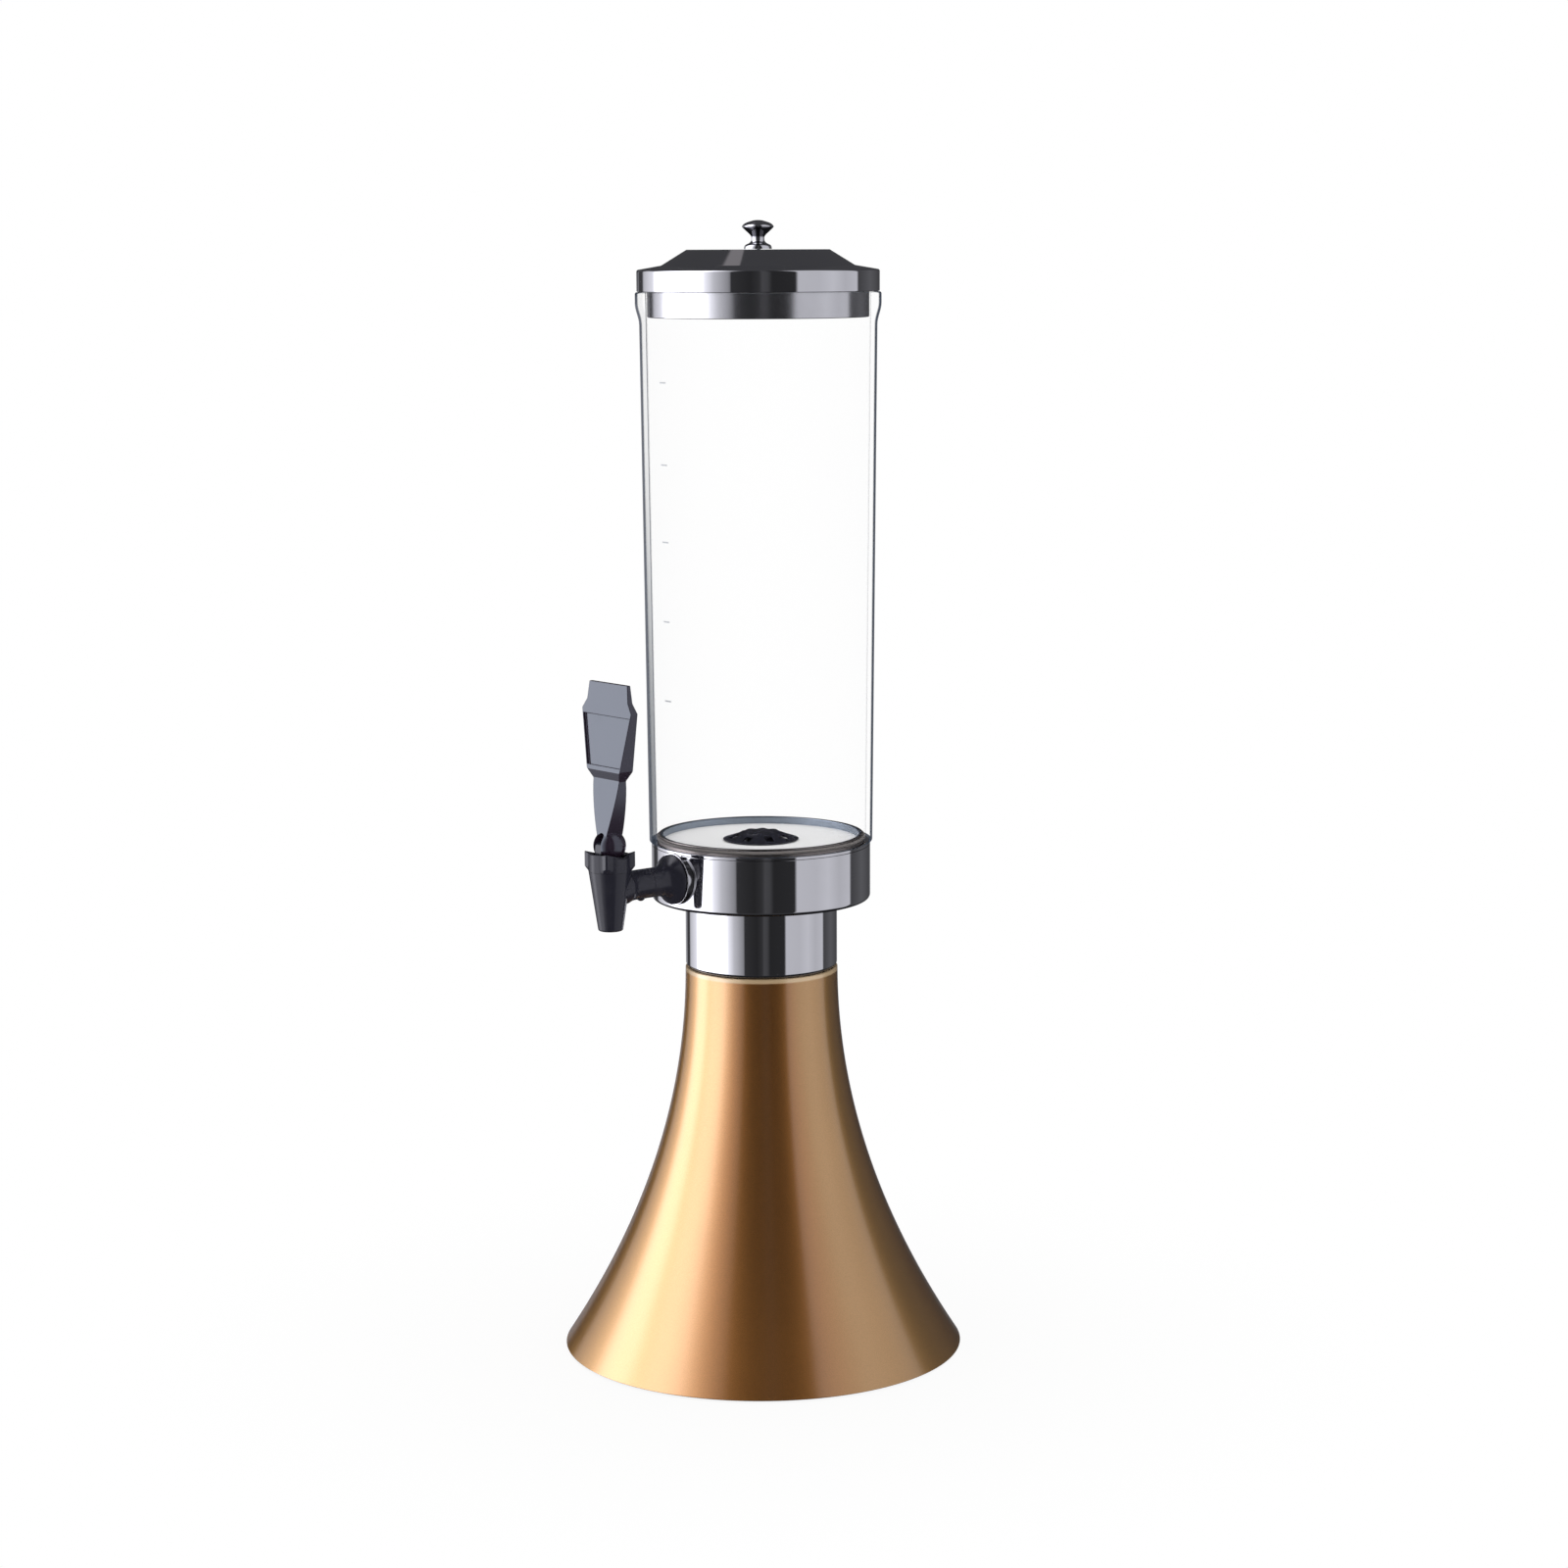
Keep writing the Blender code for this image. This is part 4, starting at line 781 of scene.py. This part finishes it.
def make_collar():
    """The chrome collar with its bevelled foot."""
    radius, foot, top = reach("neck_collar"), low("neck_collar"), high("neck_collar")
    narrow, bevel = radius - COLLAR_BEVEL / 2, foot + COLLAR_BEVEL
    turned("chrome_collar", rounded([
        (radius, top, CRISP), (radius, bevel, COLLAR_BEVEL_ROUND), (narrow, foot, CRISP),
        (narrow - SHEET, foot), (radius - SHEET, bevel), (radius - SHEET, top),
    ]), CHROME, "stand", "chrome", "neck_collar")


def make_cup():
    """The chrome cup, open at its top, with the clamping rod's hole in its floor."""
    radius, foot, top = reach("cup_shell"), low("cup_shell"), high("cup_shell")
    turned("chrome_cup", rounded([
        (radius, top, CRISP), (radius, foot, CUP_ROUND), (CUP_BORE, foot), (CUP_BORE, foot + SHEET),
        (radius - SHEET, foot + SHEET, CUP_ROUND - SHEET), (radius - SHEET, top),
    ]), CHROME, "stand", "chrome", "cup_shell")


def make_tray():
    """The reservoir's floor, stepped into the cup, with the spigot that centres the tube and its seal."""
    radius, top = reach("floor_tray"), high("floor_tray")
    floor = top - SPIGOT_HEIGHT
    under = floor - FLOOR_THICKNESS
    spigot = radius - SPIGOT_INSET
    seal = spigot - GROOVE_DEPTH
    ring_low, ring_high = (top - drop for drop in GROOVE_DROPS)
    step = radius - SHEET - GAP
    inner = spigot - SPIGOT_WALL
    turned("pale_floor", rounded([
        (inner, floor), (inner, floor - FLOOR_COAT), (DRAIN_HOLE, floor - FLOOR_COAT), (DRAIN_HOLE, floor),
    ]), PALE, "stand", "chrome")
    turned("floor_rim", rounded([
        (radius, floor, CRISP), (radius, under), (step, under), (step, under - STEP_DEPTH),
        (step - STEP_WIDTH, under - STEP_DEPTH), (step - STEP_WIDTH, under), (DRAIN_HOLE, under),
        (DRAIN_HOLE, floor - FLOOR_COAT_BED), (inner, floor - FLOOR_COAT_BED), (inner, floor),
    ]), CHROME, "stand", "chrome", "floor_tray")
    turned("floor_spigot", rounded([
        (inner, top, EASED), (spigot, top, EASED), (spigot, ring_high), (seal, ring_high),
        (seal, ring_low), (spigot, ring_low), (spigot, floor), (inner, floor),
    ]), SATIN, "stand", "chrome")
    outer, middle = reach("tray_seal"), (low("tray_seal") + high("tray_seal")) / 2
    half = (high("tray_seal") - low("tray_seal")) / 2
    inner = seal + GAP
    turned("floor_seal", rounded([
        (outer, middle + half, half * 0.9), (outer, middle - half, half * 0.9),
        (inner, middle - half, half * 0.4), (inner, middle + half, half * 0.4),
    ]), GREY_SEAL, "stand", "silicone", "tray_seal")


def tube_outside(height):
    """Outer radius of the drafted tube at a height, from its foot to under its bead."""
    return TUBE_FOOT + TUBE_DRAFT * (height - low("reservoir_tube"))


def make_tube():
    """The clear reservoir with its thick bead."""
    foot, top = low("reservoir_tube"), high("reservoir_tube")
    blend = top - BEAD_HEIGHT - BEAD_BLEND
    bead = reach("reservoir_tube")
    outside = tube_outside(blend)
    swell = [
        (outside + (bead - outside) * (1 - math.cos(math.pi * share)) / 2, blend + BEAD_BLEND * share)
        for share in BEAD_SHARES
    ]
    bore_top, bore_foot = tube_outside(top) - WALL, tube_outside(foot) - WALL
    turned("clear_tube", rounded([
        (bore_top, top, BEAD_FILLET), (bead, top, BEAD_FILLET), *swell, (outside, blend),
        (tube_outside(foot), foot, EASED), (bore_foot, foot, EASED),
    ]), CLEAR, "stand", "clear", "reservoir_tube")


def make_marks():
    """Five short printed level lines, all at one place round the tube."""
    shape = bmesh.new()
    for height in MARK_HEIGHTS:
        inner = tube_outside(height + MARK_LINE) + MARK_THICKNESS / 2
        outer, half, aside = inner + MARK_THICKNESS, MARK_LENGTH / inner / 2, MARK_OFFSET / inner
        foot, top = height - MARK_LINE / 2, height + MARK_LINE / 2
        section = ((inner, foot), (outer, foot), (outer, top), (inner, top))
        loops = [
            [shape.verts.new((radius * math.sin(turn), -radius * math.cos(turn), z)) for radius, z in section]
            for turn in spaced(-half - aside, half - aside, MARK_STEPS)
        ]
        for first, second in zip(loops, loops[1:]):
            fenced(shape, first, second)
        shape.faces.new(loops[0])
        shape.faces.new(reversed(loops[-1]))
    finished("level_marks", shape, INK, "stand", "clear")


def make_lid():
    """The spun lid, with a soft shoulder, a cone and a flat crown, and its skirt and gasket."""
    radius, foot, crown = reach("lid_shell"), low("lid_shell"), high("lid_shell")
    shoulder, cone = foot + LID_SHOULDER, foot + LID_CONE_FOOT
    turned("chrome_lid", rounded([
        (SCREW_BORE, crown), (LID_CROWN_RADIUS, crown, LID_CROWN_ROUND), (LID_CONE_RADIUS, cone, LID_ROUND),
        (radius, shoulder, LID_ROUND), (radius, foot, LID_RING_ROUND), (radius - SHEET, foot, LID_RING_ROUND),
        (radius - SHEET, shoulder - SHEET), (LID_CONE_RADIUS, cone - SHEET),
        (LID_CROWN_RADIUS, crown - SHEET), (SCREW_BORE, crown - SHEET),
    ]), CHROME, "lid", "chrome", "lid_shell")
    plug, ledge, edge = low("lid_plug"), high("lid_plug"), reach("lid_plug")
    skirt = tube_outside(plug) - WALL - SKIRT_CLEARANCE
    inner, roof = skirt - SKIRT_WALL, plug + SKIRT_WALL
    turned("lid_skirt", rounded([
        (0, roof), (inner, roof), (inner, ledge), (edge, ledge), (edge, ledge - SKIRT_WALL),
        (skirt, ledge - SKIRT_WALL), (skirt, plug, EASED), (0, plug),
    ]), SOFT_CHROME, "lid", "chrome", "lid_plug", closed=False)
    ring, ring_low, ring_high = reach("lid_gasket"), low("lid_gasket"), high("lid_gasket")
    turned("lid_gasket_ring", rounded([
        (ring, ring_high, CRISP), (ring, ring_low, CRISP), (skirt + GAP, ring_low), (skirt + GAP, ring_high),
    ]), SILICONE, "lid", "silicone", "lid_gasket")


def make_knob():
    """The turned knob: a domed head, a thin waist and a spread foot."""
    foot, head = low("lid_knob"), reach("lid_knob")
    height = high("lid_knob") - foot
    outline = [(head * radius, foot + height * share) for radius, share in KNOB_HEAD_SHARES]
    outline += [(KNOB_FOOT * radius, foot + height * share) for radius, share in KNOB_FOOT_SHARES]
    hole = foot + height * SCREW_SHARE
    outline += [(SCREW_BORE, foot), (SCREW_BORE, hole), (0, hole)]
    turned("chrome_knob", outline, CHROME, "lid", "chrome", "lid_knob", steps=SMALL_STEPS, closed=False)


def combined(operation, first, *tools):
    """Join or cut closed bmeshes exactly; returns the result as a bmesh."""
    blocks = [welded("block", shape) for shape in (first, *tools)]
    for tool in blocks[1:]:
        modifier = blocks[0].modifiers.new("Combine", "BOOLEAN")
        modifier.operation = operation
        modifier.solver = "EXACT"
        modifier.object = tool
    bpy.context.view_layer.update()
    result = bmesh.new()
    result.from_object(blocks[0], bpy.context.evaluated_depsgraph_get())
    for block in blocks:
        bpy.data.objects.remove(block, do_unlink=True)
    return result


def even_shading(piece):
    """Keep the flat faces flat beside their rounded edges."""
    weigh = piece.modifiers.new("Even shading", "WEIGHTED_NORMAL")
    weigh.keep_sharp = True
    return piece


def moved(shape, place):
    bmesh.ops.transform(shape, matrix=place, verts=shape.verts)
    return shape


def bar(radius, start, end, steps=SMALL_STEPS):
    """A round bar along Z."""
    shape = bmesh.new()
    bmesh.ops.create_cone(
        shape, cap_ends=True, segments=steps, radius1=radius, radius2=radius, depth=end - start,
        matrix=Matrix.Translation((0, 0, (start + end) / 2)),
    )
    return shape


def brick(first, second):
    """A box between two corners."""
    shape = bmesh.new()
    first, second = Vector(first), Vector(second)
    place = Matrix.Translation((first + second) / 2)
    bmesh.ops.create_cube(shape, size=1, matrix=place @ Matrix.Diagonal((*(second - first), 1)))
    return shape


def tap_level():
    """Height of the tap's shank and of the drain's port."""
    return (low("outlet_hose") + high("outlet_hose")) / 2


def along_tap():
    """Lays a shape turned about Z along the tap, from the tower's axis outwards."""
    return Matrix.Translation((0, 0, tap_level())) @ Matrix.Rotation(math.pi / 2, 4, "X")


def at_barrel():
    return Matrix.Translation((0, -TAP_REACH, 0))


def across_at(y, height):
    """Lays a shape turned about Z along the X axis."""
    return Matrix.Translation((0, y, height)) @ Matrix.Rotation(math.pi / 2, 4, "Y")


def make_tap_body():
    """The tap's moulding: a tapering barrel, and a shank that flares into its flange."""
    tip, top = low("tap_body"), low("tap_bonnet") + BONNET_SKIRT - GAP / 3
    seat = tap_level() - SEAT_DROP
    funnel = BARREL_TIP + (BARREL_TOP - BARREL_TIP) * (seat + SEAT_FUNNEL - tip) / (top - tip) - BARREL_WALL
    barrel = moved(turned_shape(rounded([
        (0, top), (BARREL_TOP, top), (BARREL_TIP, tip, BARREL_TIP_ROUND), (0, tip),
    ]), SMALL_STEPS, closed=False), at_barrel())
    rim = FLANGE_FACE + FLANGE_RIM
    weld_start, weld_end = WELD_PLACES
    weld = [
        (SHANK + SHANK_WELD * share ** 2, weld_start + (weld_end - weld_start) * share)
        for share in spaced(1.0, 0.0, WELD_POINTS)
    ]
    seam = [
        (SHANK, SEAM_PLACE + SEAM_WIDTH), (SHANK - SEAM_DEPTH, SEAM_PLACE + SEAM_WIDTH / 2),
        (SHANK - SEAM_DEPTH, SEAM_PLACE - SEAM_WIDTH / 2), (SHANK, SEAM_PLACE - SEAM_WIDTH),
    ]
    flare = [
        (SHANK + (FLANGE - SHANK) * share ** FLARE_POWER, FLARE_START + (rim - FLARE_START) * share)
        for share in spaced(0.0, 1.0, FLARE_POINTS)
    ]
    shank = moved(turned_shape(rounded([
        (0, TAP_REACH), (SHANK + SHANK_WELD, TAP_REACH), *weld, *seam, *flare[:-1],
        (*flare[-1], FLANGE_ROUND), (FLANGE, FLANGE_FACE, EASED), (THREAD, FLANGE_FACE), (THREAD, TAIL_END),
        (TAIL_NIPPLE, TAIL_END), (TAIL_NIPPLE, TAIL_NIPPLE_END), (0, TAIL_NIPPLE_END),
    ]), SMALL_STEPS, closed=False), along_tap())
    gate = bmesh.new()
    bmesh.ops.create_uvsphere(gate, u_segments=32, v_segments=16, radius=GATE_RADIUS)
    moved(gate, Matrix.Translation((0, -GATE_PLACE, tap_level() - SHANK - GATE_RISE + GATE_RADIUS)))
    bore = BARREL_TOP - BARREL_WALL
    chamber = moved(turned_shape([
        (0, top + SHEET), (bore, top + SHEET), (bore, top - SHEET * 4), (funnel, seat + SEAT_FUNNEL),
        (SPOUT_BORE, seat), (SPOUT_BORE, tip - SHEET), (0, tip - SHEET),
    ], SMALL_STEPS, closed=False), at_barrel())
    port = moved(bar(PORT_BORE, TAIL_NIPPLE_END - SHEET, TAP_REACH, ROUND_STEPS), along_tap())
    solid = combined("UNION", barrel, shank, gate)
    even_shading(finished(
        "tap_moulding", combined("DIFFERENCE", solid, chamber, port), BLACK, "stand", "black", "tap_body",
    ))
    washer_radius = high("tap_saddle") - tap_level()
    washer = moved(turned_shape(rounded([
        (washer_radius, FLANGE_FACE - GAP, WASHER_ROUND), (washer_radius, FLANGE_FACE / 2),
        (THREAD + GAP, FLANGE_FACE / 2), (THREAD + GAP, FLANGE_FACE - GAP),
    ]), SMALL_STEPS), along_tap())
    wall = bar(reach("cup_shell") + GAP, low("cup_shell"), high("cup_shell"), FINE_STEPS)
    finished("saddle_washer", combined("DIFFERENCE", washer, wall), CHROME, "stand", "steel", "tap_saddle")


def corner_reach(x, y):
    """Radius of the bonnet's outside in a direction: round, with four corners on the diagonals."""
    turn = math.atan2(abs(y), abs(x)) % (math.pi / 2)
    flat = BONNET_SQUARE / max(math.cos(turn), math.sin(turn))
    corner = min(flat, BONNET_CORNER)
    near = max(0.0, 1 - abs(BONNET - corner) / CORNER_BLEND)
    return max(BONNET, corner) + CORNER_BLEND * near ** 2 / 4


def scoop_drop(x, y):
    """How far the bonnet's rim dips below its raised corners."""
    rises = [SCOOP_RADIUS - math.sqrt(SCOOP_RADIUS ** 2 - place ** 2) for place in (x, y)]
    front = 1 - SCOOP_FRONT * max(0.0, -y) / math.hypot(x, y)
    return max(0.0, SCOOP - min(rises)) * front


def make_bonnet():
    """The bonnet: a dished rim with four raised corners round the ball, and the tongue of the pivot."""
    foot = low("tap_bonnet") + BONNET_SKIRT
    top, floor = foot + BONNET_RISE, foot + BONNET_FLOOR
    skirt = BARREL_TOP - BARREL_WALL - GAP
    gland_radius, gland_depth = GLAND
    roof, gland_z = floor - BONNET_WALL, foot - gland_depth
    inner = skirt - BONNET_WALL * 0.75
    side = [(BONNET, foot + (top - foot) * share) for share in spaced(0.92, 0.02, SIDE_POINTS)]
    shape = turned_shape(rounded([
        (BONNET - BONNET_WALL, top, EASED), (BONNET, top, BONNET_ROUND), *side, (BONNET, foot),
        (skirt, foot), (skirt, foot - BONNET_SKIRT), (inner, foot - BONNET_SKIRT), (inner, roof),
        (gland_radius, roof), (gland_radius, gland_z), (STEM_HOLE, gland_z), (STEM_HOLE, floor),
        (BALL + GAP, floor, BONNET_FLOOR_ROUND),
    ]), BONNET_STEPS)
    land = top - BONNET_WALL
    for vert in shape.verts:
        x, y, z = vert.co
        spread = math.hypot(x, y)
        if z > foot and spread > BONNET - BONNET_WALL * 0.5:
            rise = min(1.0, (z - foot) / BONNET_BEVEL)
            outward = min(1.0, (spread - BONNET + BONNET_WALL * 0.5) / (BONNET_WALL * 0.4))
            push = (corner_reach(x, y) - BONNET) * rise * outward
            vert.co.x *= 1 + push / spread
            vert.co.y *= 1 + push / spread
        if z > land:
            vert.co.z -= scoop_drop(vert.co.x, vert.co.y) * min(1.0, (z - land) / SCOOP_FADE)
    finished("bonnet_rim", moved(shape, at_barrel()), BLACK, "stand", "black", "tap_bonnet")
    pivot = -TAP_REACH - PIVOT_OFFSET
    height = tap_level() + BALL_RISE
    post = brick(
        (-TONGUE_HALF, pivot - TONGUE_RADIUS, floor - SHEET), (TONGUE_HALF, pivot + TONGUE_RADIUS, height),
    )
    crown = moved(bar(TONGUE_RADIUS, -TONGUE_HALF, TONGUE_HALF, ROUND_STEPS), across_at(pivot, height))
    finished("pivot_tongue", combined("UNION", post, crown), BLACK, "stand", "black")


def handle_levels():
    """Share of the height, half width and half depth at each level of the handle."""
    start, end = NECK_SHARES
    levels = [(HANDLE_ROOT, NECK_WIDTHS[0], NECK_DEPTHS[0])]
    for along in spaced(0.0, 1.0, NECK_POINTS):
        width = NECK_WIDTHS[0] + (NECK_WIDTHS[1] - NECK_WIDTHS[0]) * (1 - (1 - along) ** NECK_SWELL)
        depth = NECK_DEPTHS[0] + (NECK_DEPTHS[1] - NECK_DEPTHS[0]) * along ** NECK_TAPER
        levels.append((start + (end - start) * along, width, depth))
    return levels + list(PADDLE_SHARES)


def paddle_shape(ball_height):
    """The grip as a closed shape with the bare label recess in its front."""
    shape = bmesh.new()
    loops, inners = [], []
    for share, width, depth in handle_levels():
        middle = HANDLE_LEAN * share - TAP_REACH
        half, thick = HANDLE_WIDTH * width, HANDLE_DEPTH * depth
        height = ball_height + HANDLE_HEIGHT * share
        front, back = middle - thick, middle + thick
        corners = ((-half, front), (half, front), (half, back), (-half, back))
        loops.append([shape.verts.new((x, y, height)) for x, y in corners])
        inner = half - LABEL_BORDER
        inners.append([
            shape.verts.new((x, front, height)) for x in (-inner, inner)
        ] if share in LABEL_SHARES else [])
    shape.faces.new(reversed(loops[0]))
    shape.faces.new(loops[-1])
    for lower, upper, inner_lower, inner_upper in zip(loops, loops[1:], inners, inners[1:]):
        fenced(shape, lower, upper, (1, 2, 3))
        if inner_lower and inner_upper:
            shape.faces.new((lower[0], inner_lower[0], inner_upper[0], upper[0]))
            shape.faces.new((inner_lower[1], lower[1], upper[1], inner_upper[1]))
            rim = [*inner_lower, *reversed(inner_upper)]
            lean = rim[2].co - rim[1].co
            lean.x = 0
            inward = Vector((0, lean.z, -lean.y)).normalized() * LABEL_DEPTH
            floor = [shape.verts.new(vert.co + inward) for vert in rim]
            shape.faces.new(floor)
            fenced(shape, rim, floor)
        else:
            shape.faces.new((lower[0], *inner_lower, lower[1], upper[1], *reversed(inner_upper), upper[0]))
    bmesh.ops.recalc_face_normals(shape, faces=shape.faces)
    edges = [edge for edge in shape.edges if edge.calc_face_angle(0.0) > EDGE_TURN]
    bmesh.ops.bevel(
        shape, geom=edges, offset=EDGE_ROUND, offset_type="OFFSET", segments=4, profile=0.5, affect="EDGES",
        clamp_overlap=True, material=-1,
    )
    return shape


def make_handle():
    """The paddle on its ball, slotted for the tongue."""
    height = tap_level() + BALL_RISE
    pivot = -TAP_REACH - PIVOT_OFFSET
    ball = bmesh.new()
    bmesh.ops.create_uvsphere(ball, u_segments=96, v_segments=48, radius=BALL)
    moved(ball, Matrix.Translation((0, -TAP_REACH, height)))
    slot_top = height + SLOT_RISE - SLOT_HALF
    slot = brick(
        (-SLOT_HALF, pivot - BALL, height - BALL - SHEET), (SLOT_HALF, pivot + SLOT_BACK, slot_top),
    )
    arch = moved(
        bar(SLOT_HALF, -pivot - SLOT_BACK, -pivot + BALL, ROUND_STEPS),
        Matrix.Translation((0, 0, slot_top)) @ Matrix.Rotation(math.pi / 2, 4, "X"),
    )
    solid = combined("UNION", paddle_shape(height), ball)
    even_shading(finished(
        "handle_grip", combined("DIFFERENCE", solid, slot, arch), GLOSS, "handle", "black", "tap_handle",
    ))


def make_strainer():
    """The black cap over the drain: a low lobed dome with a thin edge and slots at its foot."""
    foot, rim = low("drain_strainer"), reach("drain_strainer")
    top = foot + STRAINER_RISE
    dome = [
        (STRAINER_CROWN * math.sin(share * math.pi / 2) ** 0.9, top - STRAINER_DROP * share ** 2)
        for share in spaced(0.0, 1.0, 8)
    ]
    crown_foot = dome[-1][1]
    edge = foot + STRAINER_EDGE
    skirt = [
        (STRAINER_CROWN + (rim - STRAINER_CROWN) * share, crown_foot + (edge - crown_foot) * share ** 0.92)
        for share in spaced(0.0, 1.0, 10)
    ][1:]
    under, hub_side = crown_foot - STRAINER_WALL, STRAINER_HUB + HUB_WALL
    shape = turned_shape([
        *dome, *skirt, (rim, foot), (rim - STRAINER_RIM, foot), (STRAINER_CROWN, under), (hub_side, under),
        (hub_side, foot), (STRAINER_HUB, foot), (STRAINER_HUB, under), (0, under),
    ], STRAINER_LOBES * 24, closed=False)
    for vert in shape.verts:
        spread = math.hypot(vert.co.x, vert.co.y)
        turn = math.atan2(vert.co.y, vert.co.x)
        swell = max(0.0, 1 - abs(spread - STRAINER_CROWN) / LOBE_SPREAD)
        if vert.co.z > crown_foot - STRAINER_TOP or spread > STRAINER_CROWN + STRAINER_EDGE:
            vert.co.z += LOBE_RISE * swell * math.cos(STRAINER_LOBES * turn)
    width, start, end = STRAINER_SLOT
    slots = []
    for index in range(STRAINER_LOBES):
        slot = brick((STRAINER_HUB + HUB_CLEARANCE, -width / 2, foot + start), (rim, width / 2, foot + end))
        slots.append(moved(slot, Matrix.Rotation(math.tau * (index + 0.5) / STRAINER_LOBES, 4, "Z")))
    finished(
        "strainer_cap", combined("DIFFERENCE", shape, *slots), BLACK, "stand", "black", "drain_strainer",
    )


def fading(tree, angle, degrees, falling=False):
    """Goes from 0 to 1, or falls back, between two angles in degrees."""
    start, end = (math.radians(degree) for degree in degrees)
    return ranged(tree, angle, start, end, *((1.0, 0.0) if falling else (0.0, 1.0)))


def make_world():
    """The studio: panels and dark gaps for reflections, and plain white for every straight look."""
    world = bpy.data.worlds.new("studio")
    bpy.context.scene.world = world
    world.use_nodes = True
    world.cycles.sampling_method = "NONE"
    tree = world.node_tree
    turned_round = put(
        tree, "ShaderNodeVectorRotate", rotation_type="Z_AXIS", Angle=-VIEW_AZIMUTH,
        Vector=coordinates(tree, "Generated"),
    )
    across, deep, up = apart(tree, turned_round.outputs[0])
    angle = maths(tree, "ARCTAN2", across, maths(tree, "MULTIPLY", deep, -1.0))
    around = ranged(tree, angle, -math.pi, math.pi, smooth=False)
    stops = [((degrees + 180) / 360, level) for degrees, level in PANEL_LEVELS]
    panels = ramped(tree, around, stops, PANEL_TINT)
    height = maths(tree, "ARCSINE", up)
    behind = maths(tree, "ABSOLUTE", angle)
    rear = maths(tree, "MULTIPLY", fading(tree, behind, REAR_TURN), fading(tree, height, REAR_RISE))
    level = maths(tree, "MAXIMUM", fading(tree, height, BACK_RISE), fading(tree, height, BACK_FALL, True))
    dark = maths(tree, "MAXIMUM", rear, maths(tree, "MULTIPLY", fading(tree, behind, BACK_TURN), level))
    for fade in (fading(tree, height, CEILING_RISE), fading(tree, height, GROUND_FALL, True)):
        dark = maths(tree, "MAXIMUM", dark, fade)
    room = blended(tree, dark, panels, DARK_TINT)
    left, right = CARD_TURNS
    foot, top = CARD_RISES
    wide = maths(tree, "MULTIPLY", fading(tree, angle, left), fading(tree, angle, right, True))
    tall = maths(tree, "MULTIPLY", fading(tree, height, foot), fading(tree, height, top, True))
    room = blended(tree, maths(tree, "MULTIPLY", wide, tall), room, CARD_TINT)
    path = put(tree, "ShaderNodeLightPath")
    straight = maths(tree, "LESS_THAN", path.outputs["Glossy Depth"], 0.5)
    through = maths(tree, "MULTIPLY", path.outputs["Is Transmission Ray"], straight)
    plain = maths(tree, "MAXIMUM", path.outputs["Is Camera Ray"], path.outputs["Is Diffuse Ray"])
    white = maths(tree, "MAXIMUM", plain, through)
    join(tree, tree.nodes["Background"], Color=blended(tree, white, room, (1.0, 1.0, 1.0)))


def mixed(tree, factor, first, second):
    """A Mix Shader node on two shaders."""
    node = put(tree, "ShaderNodeMixShader")
    fill(tree, node.inputs, (factor, first, second))
    return node.outputs[0]


def make_floor():
    """A plain white table top that keeps a soft shadow near the object."""
    shape = bmesh.new()
    bmesh.ops.create_circle(shape, cap_ends=True, segments=SMALL_STEPS, radius=TABLE_RADIUS)
    mesh = bpy.data.meshes.new("floor")
    shape.to_mesh(mesh)
    shape.free()
    material = bpy.data.materials.new("white_floor")
    material.use_nodes = True
    tree = material.node_tree
    tree.nodes.clear()
    length = put(tree, "ShaderNodeVectorMath", operation="LENGTH", Vector=coordinates(tree))
    near = ranged(tree, length.outputs["Value"], *SHADOW_FADE, SHADOW_SHARE, 0.0)
    path = put(tree, "ShaderNodeLightPath")
    seen = maths(tree, "MAXIMUM", path.outputs["Is Camera Ray"], path.outputs["Is Transmission Ray"])
    glow = put(tree, "ShaderNodeEmission").outputs[0]
    paint = put(tree, "ShaderNodeBsdfDiffuse", Color=TABLE_PAINT).outputs[0]
    clear = put(tree, "ShaderNodeBsdfTransparent").outputs[0]
    factor = maths(tree, "MULTIPLY", seen, maths(tree, "SUBTRACT", 1.0, near))
    top = mixed(tree, path.outputs["Is Glossy Ray"], mixed(tree, factor, paint, glow), clear)
    put(tree, "ShaderNodeOutputMaterial", Surface=top)
    mesh.materials.append(material)
    placed("floor", mesh)


def make_camera():
    """The photo's viewpoint: level with the lid, tilted down, turned and rolled a little."""
    lens = bpy.data.cameras.new("photo_view")
    lens.sensor_width = SENSOR
    lens.lens = LENS
    lens.clip_start = 0.01
    camera = placed("photo_view", lens)
    turn = (
        Matrix.Rotation(VIEW_AZIMUTH - VIEW_YAW, 4, "Z") @ Matrix.Rotation(math.pi / 2 - VIEW_TILT, 4, "X")
        @ Matrix.Rotation(-VIEW_ROLL, 4, "Z")
    )
    place = Vector((
        VIEW_DISTANCE * math.sin(VIEW_AZIMUTH), -VIEW_DISTANCE * math.cos(VIEW_AZIMUTH), VIEW_HEIGHT,
    ))
    camera.matrix_world = Matrix.Translation(place) @ turn
    bpy.context.scene.camera = camera


bpy.context.scene.view_settings.view_transform = "Standard"
make_camera()
make_world()
make_floor()
dress_cad_nodes()
make_bell()
make_collar()
make_cup()
make_tray()
make_tube()
make_marks()
make_lid()
make_knob()
make_tap_body()
make_bonnet()
make_handle()
make_strainer()
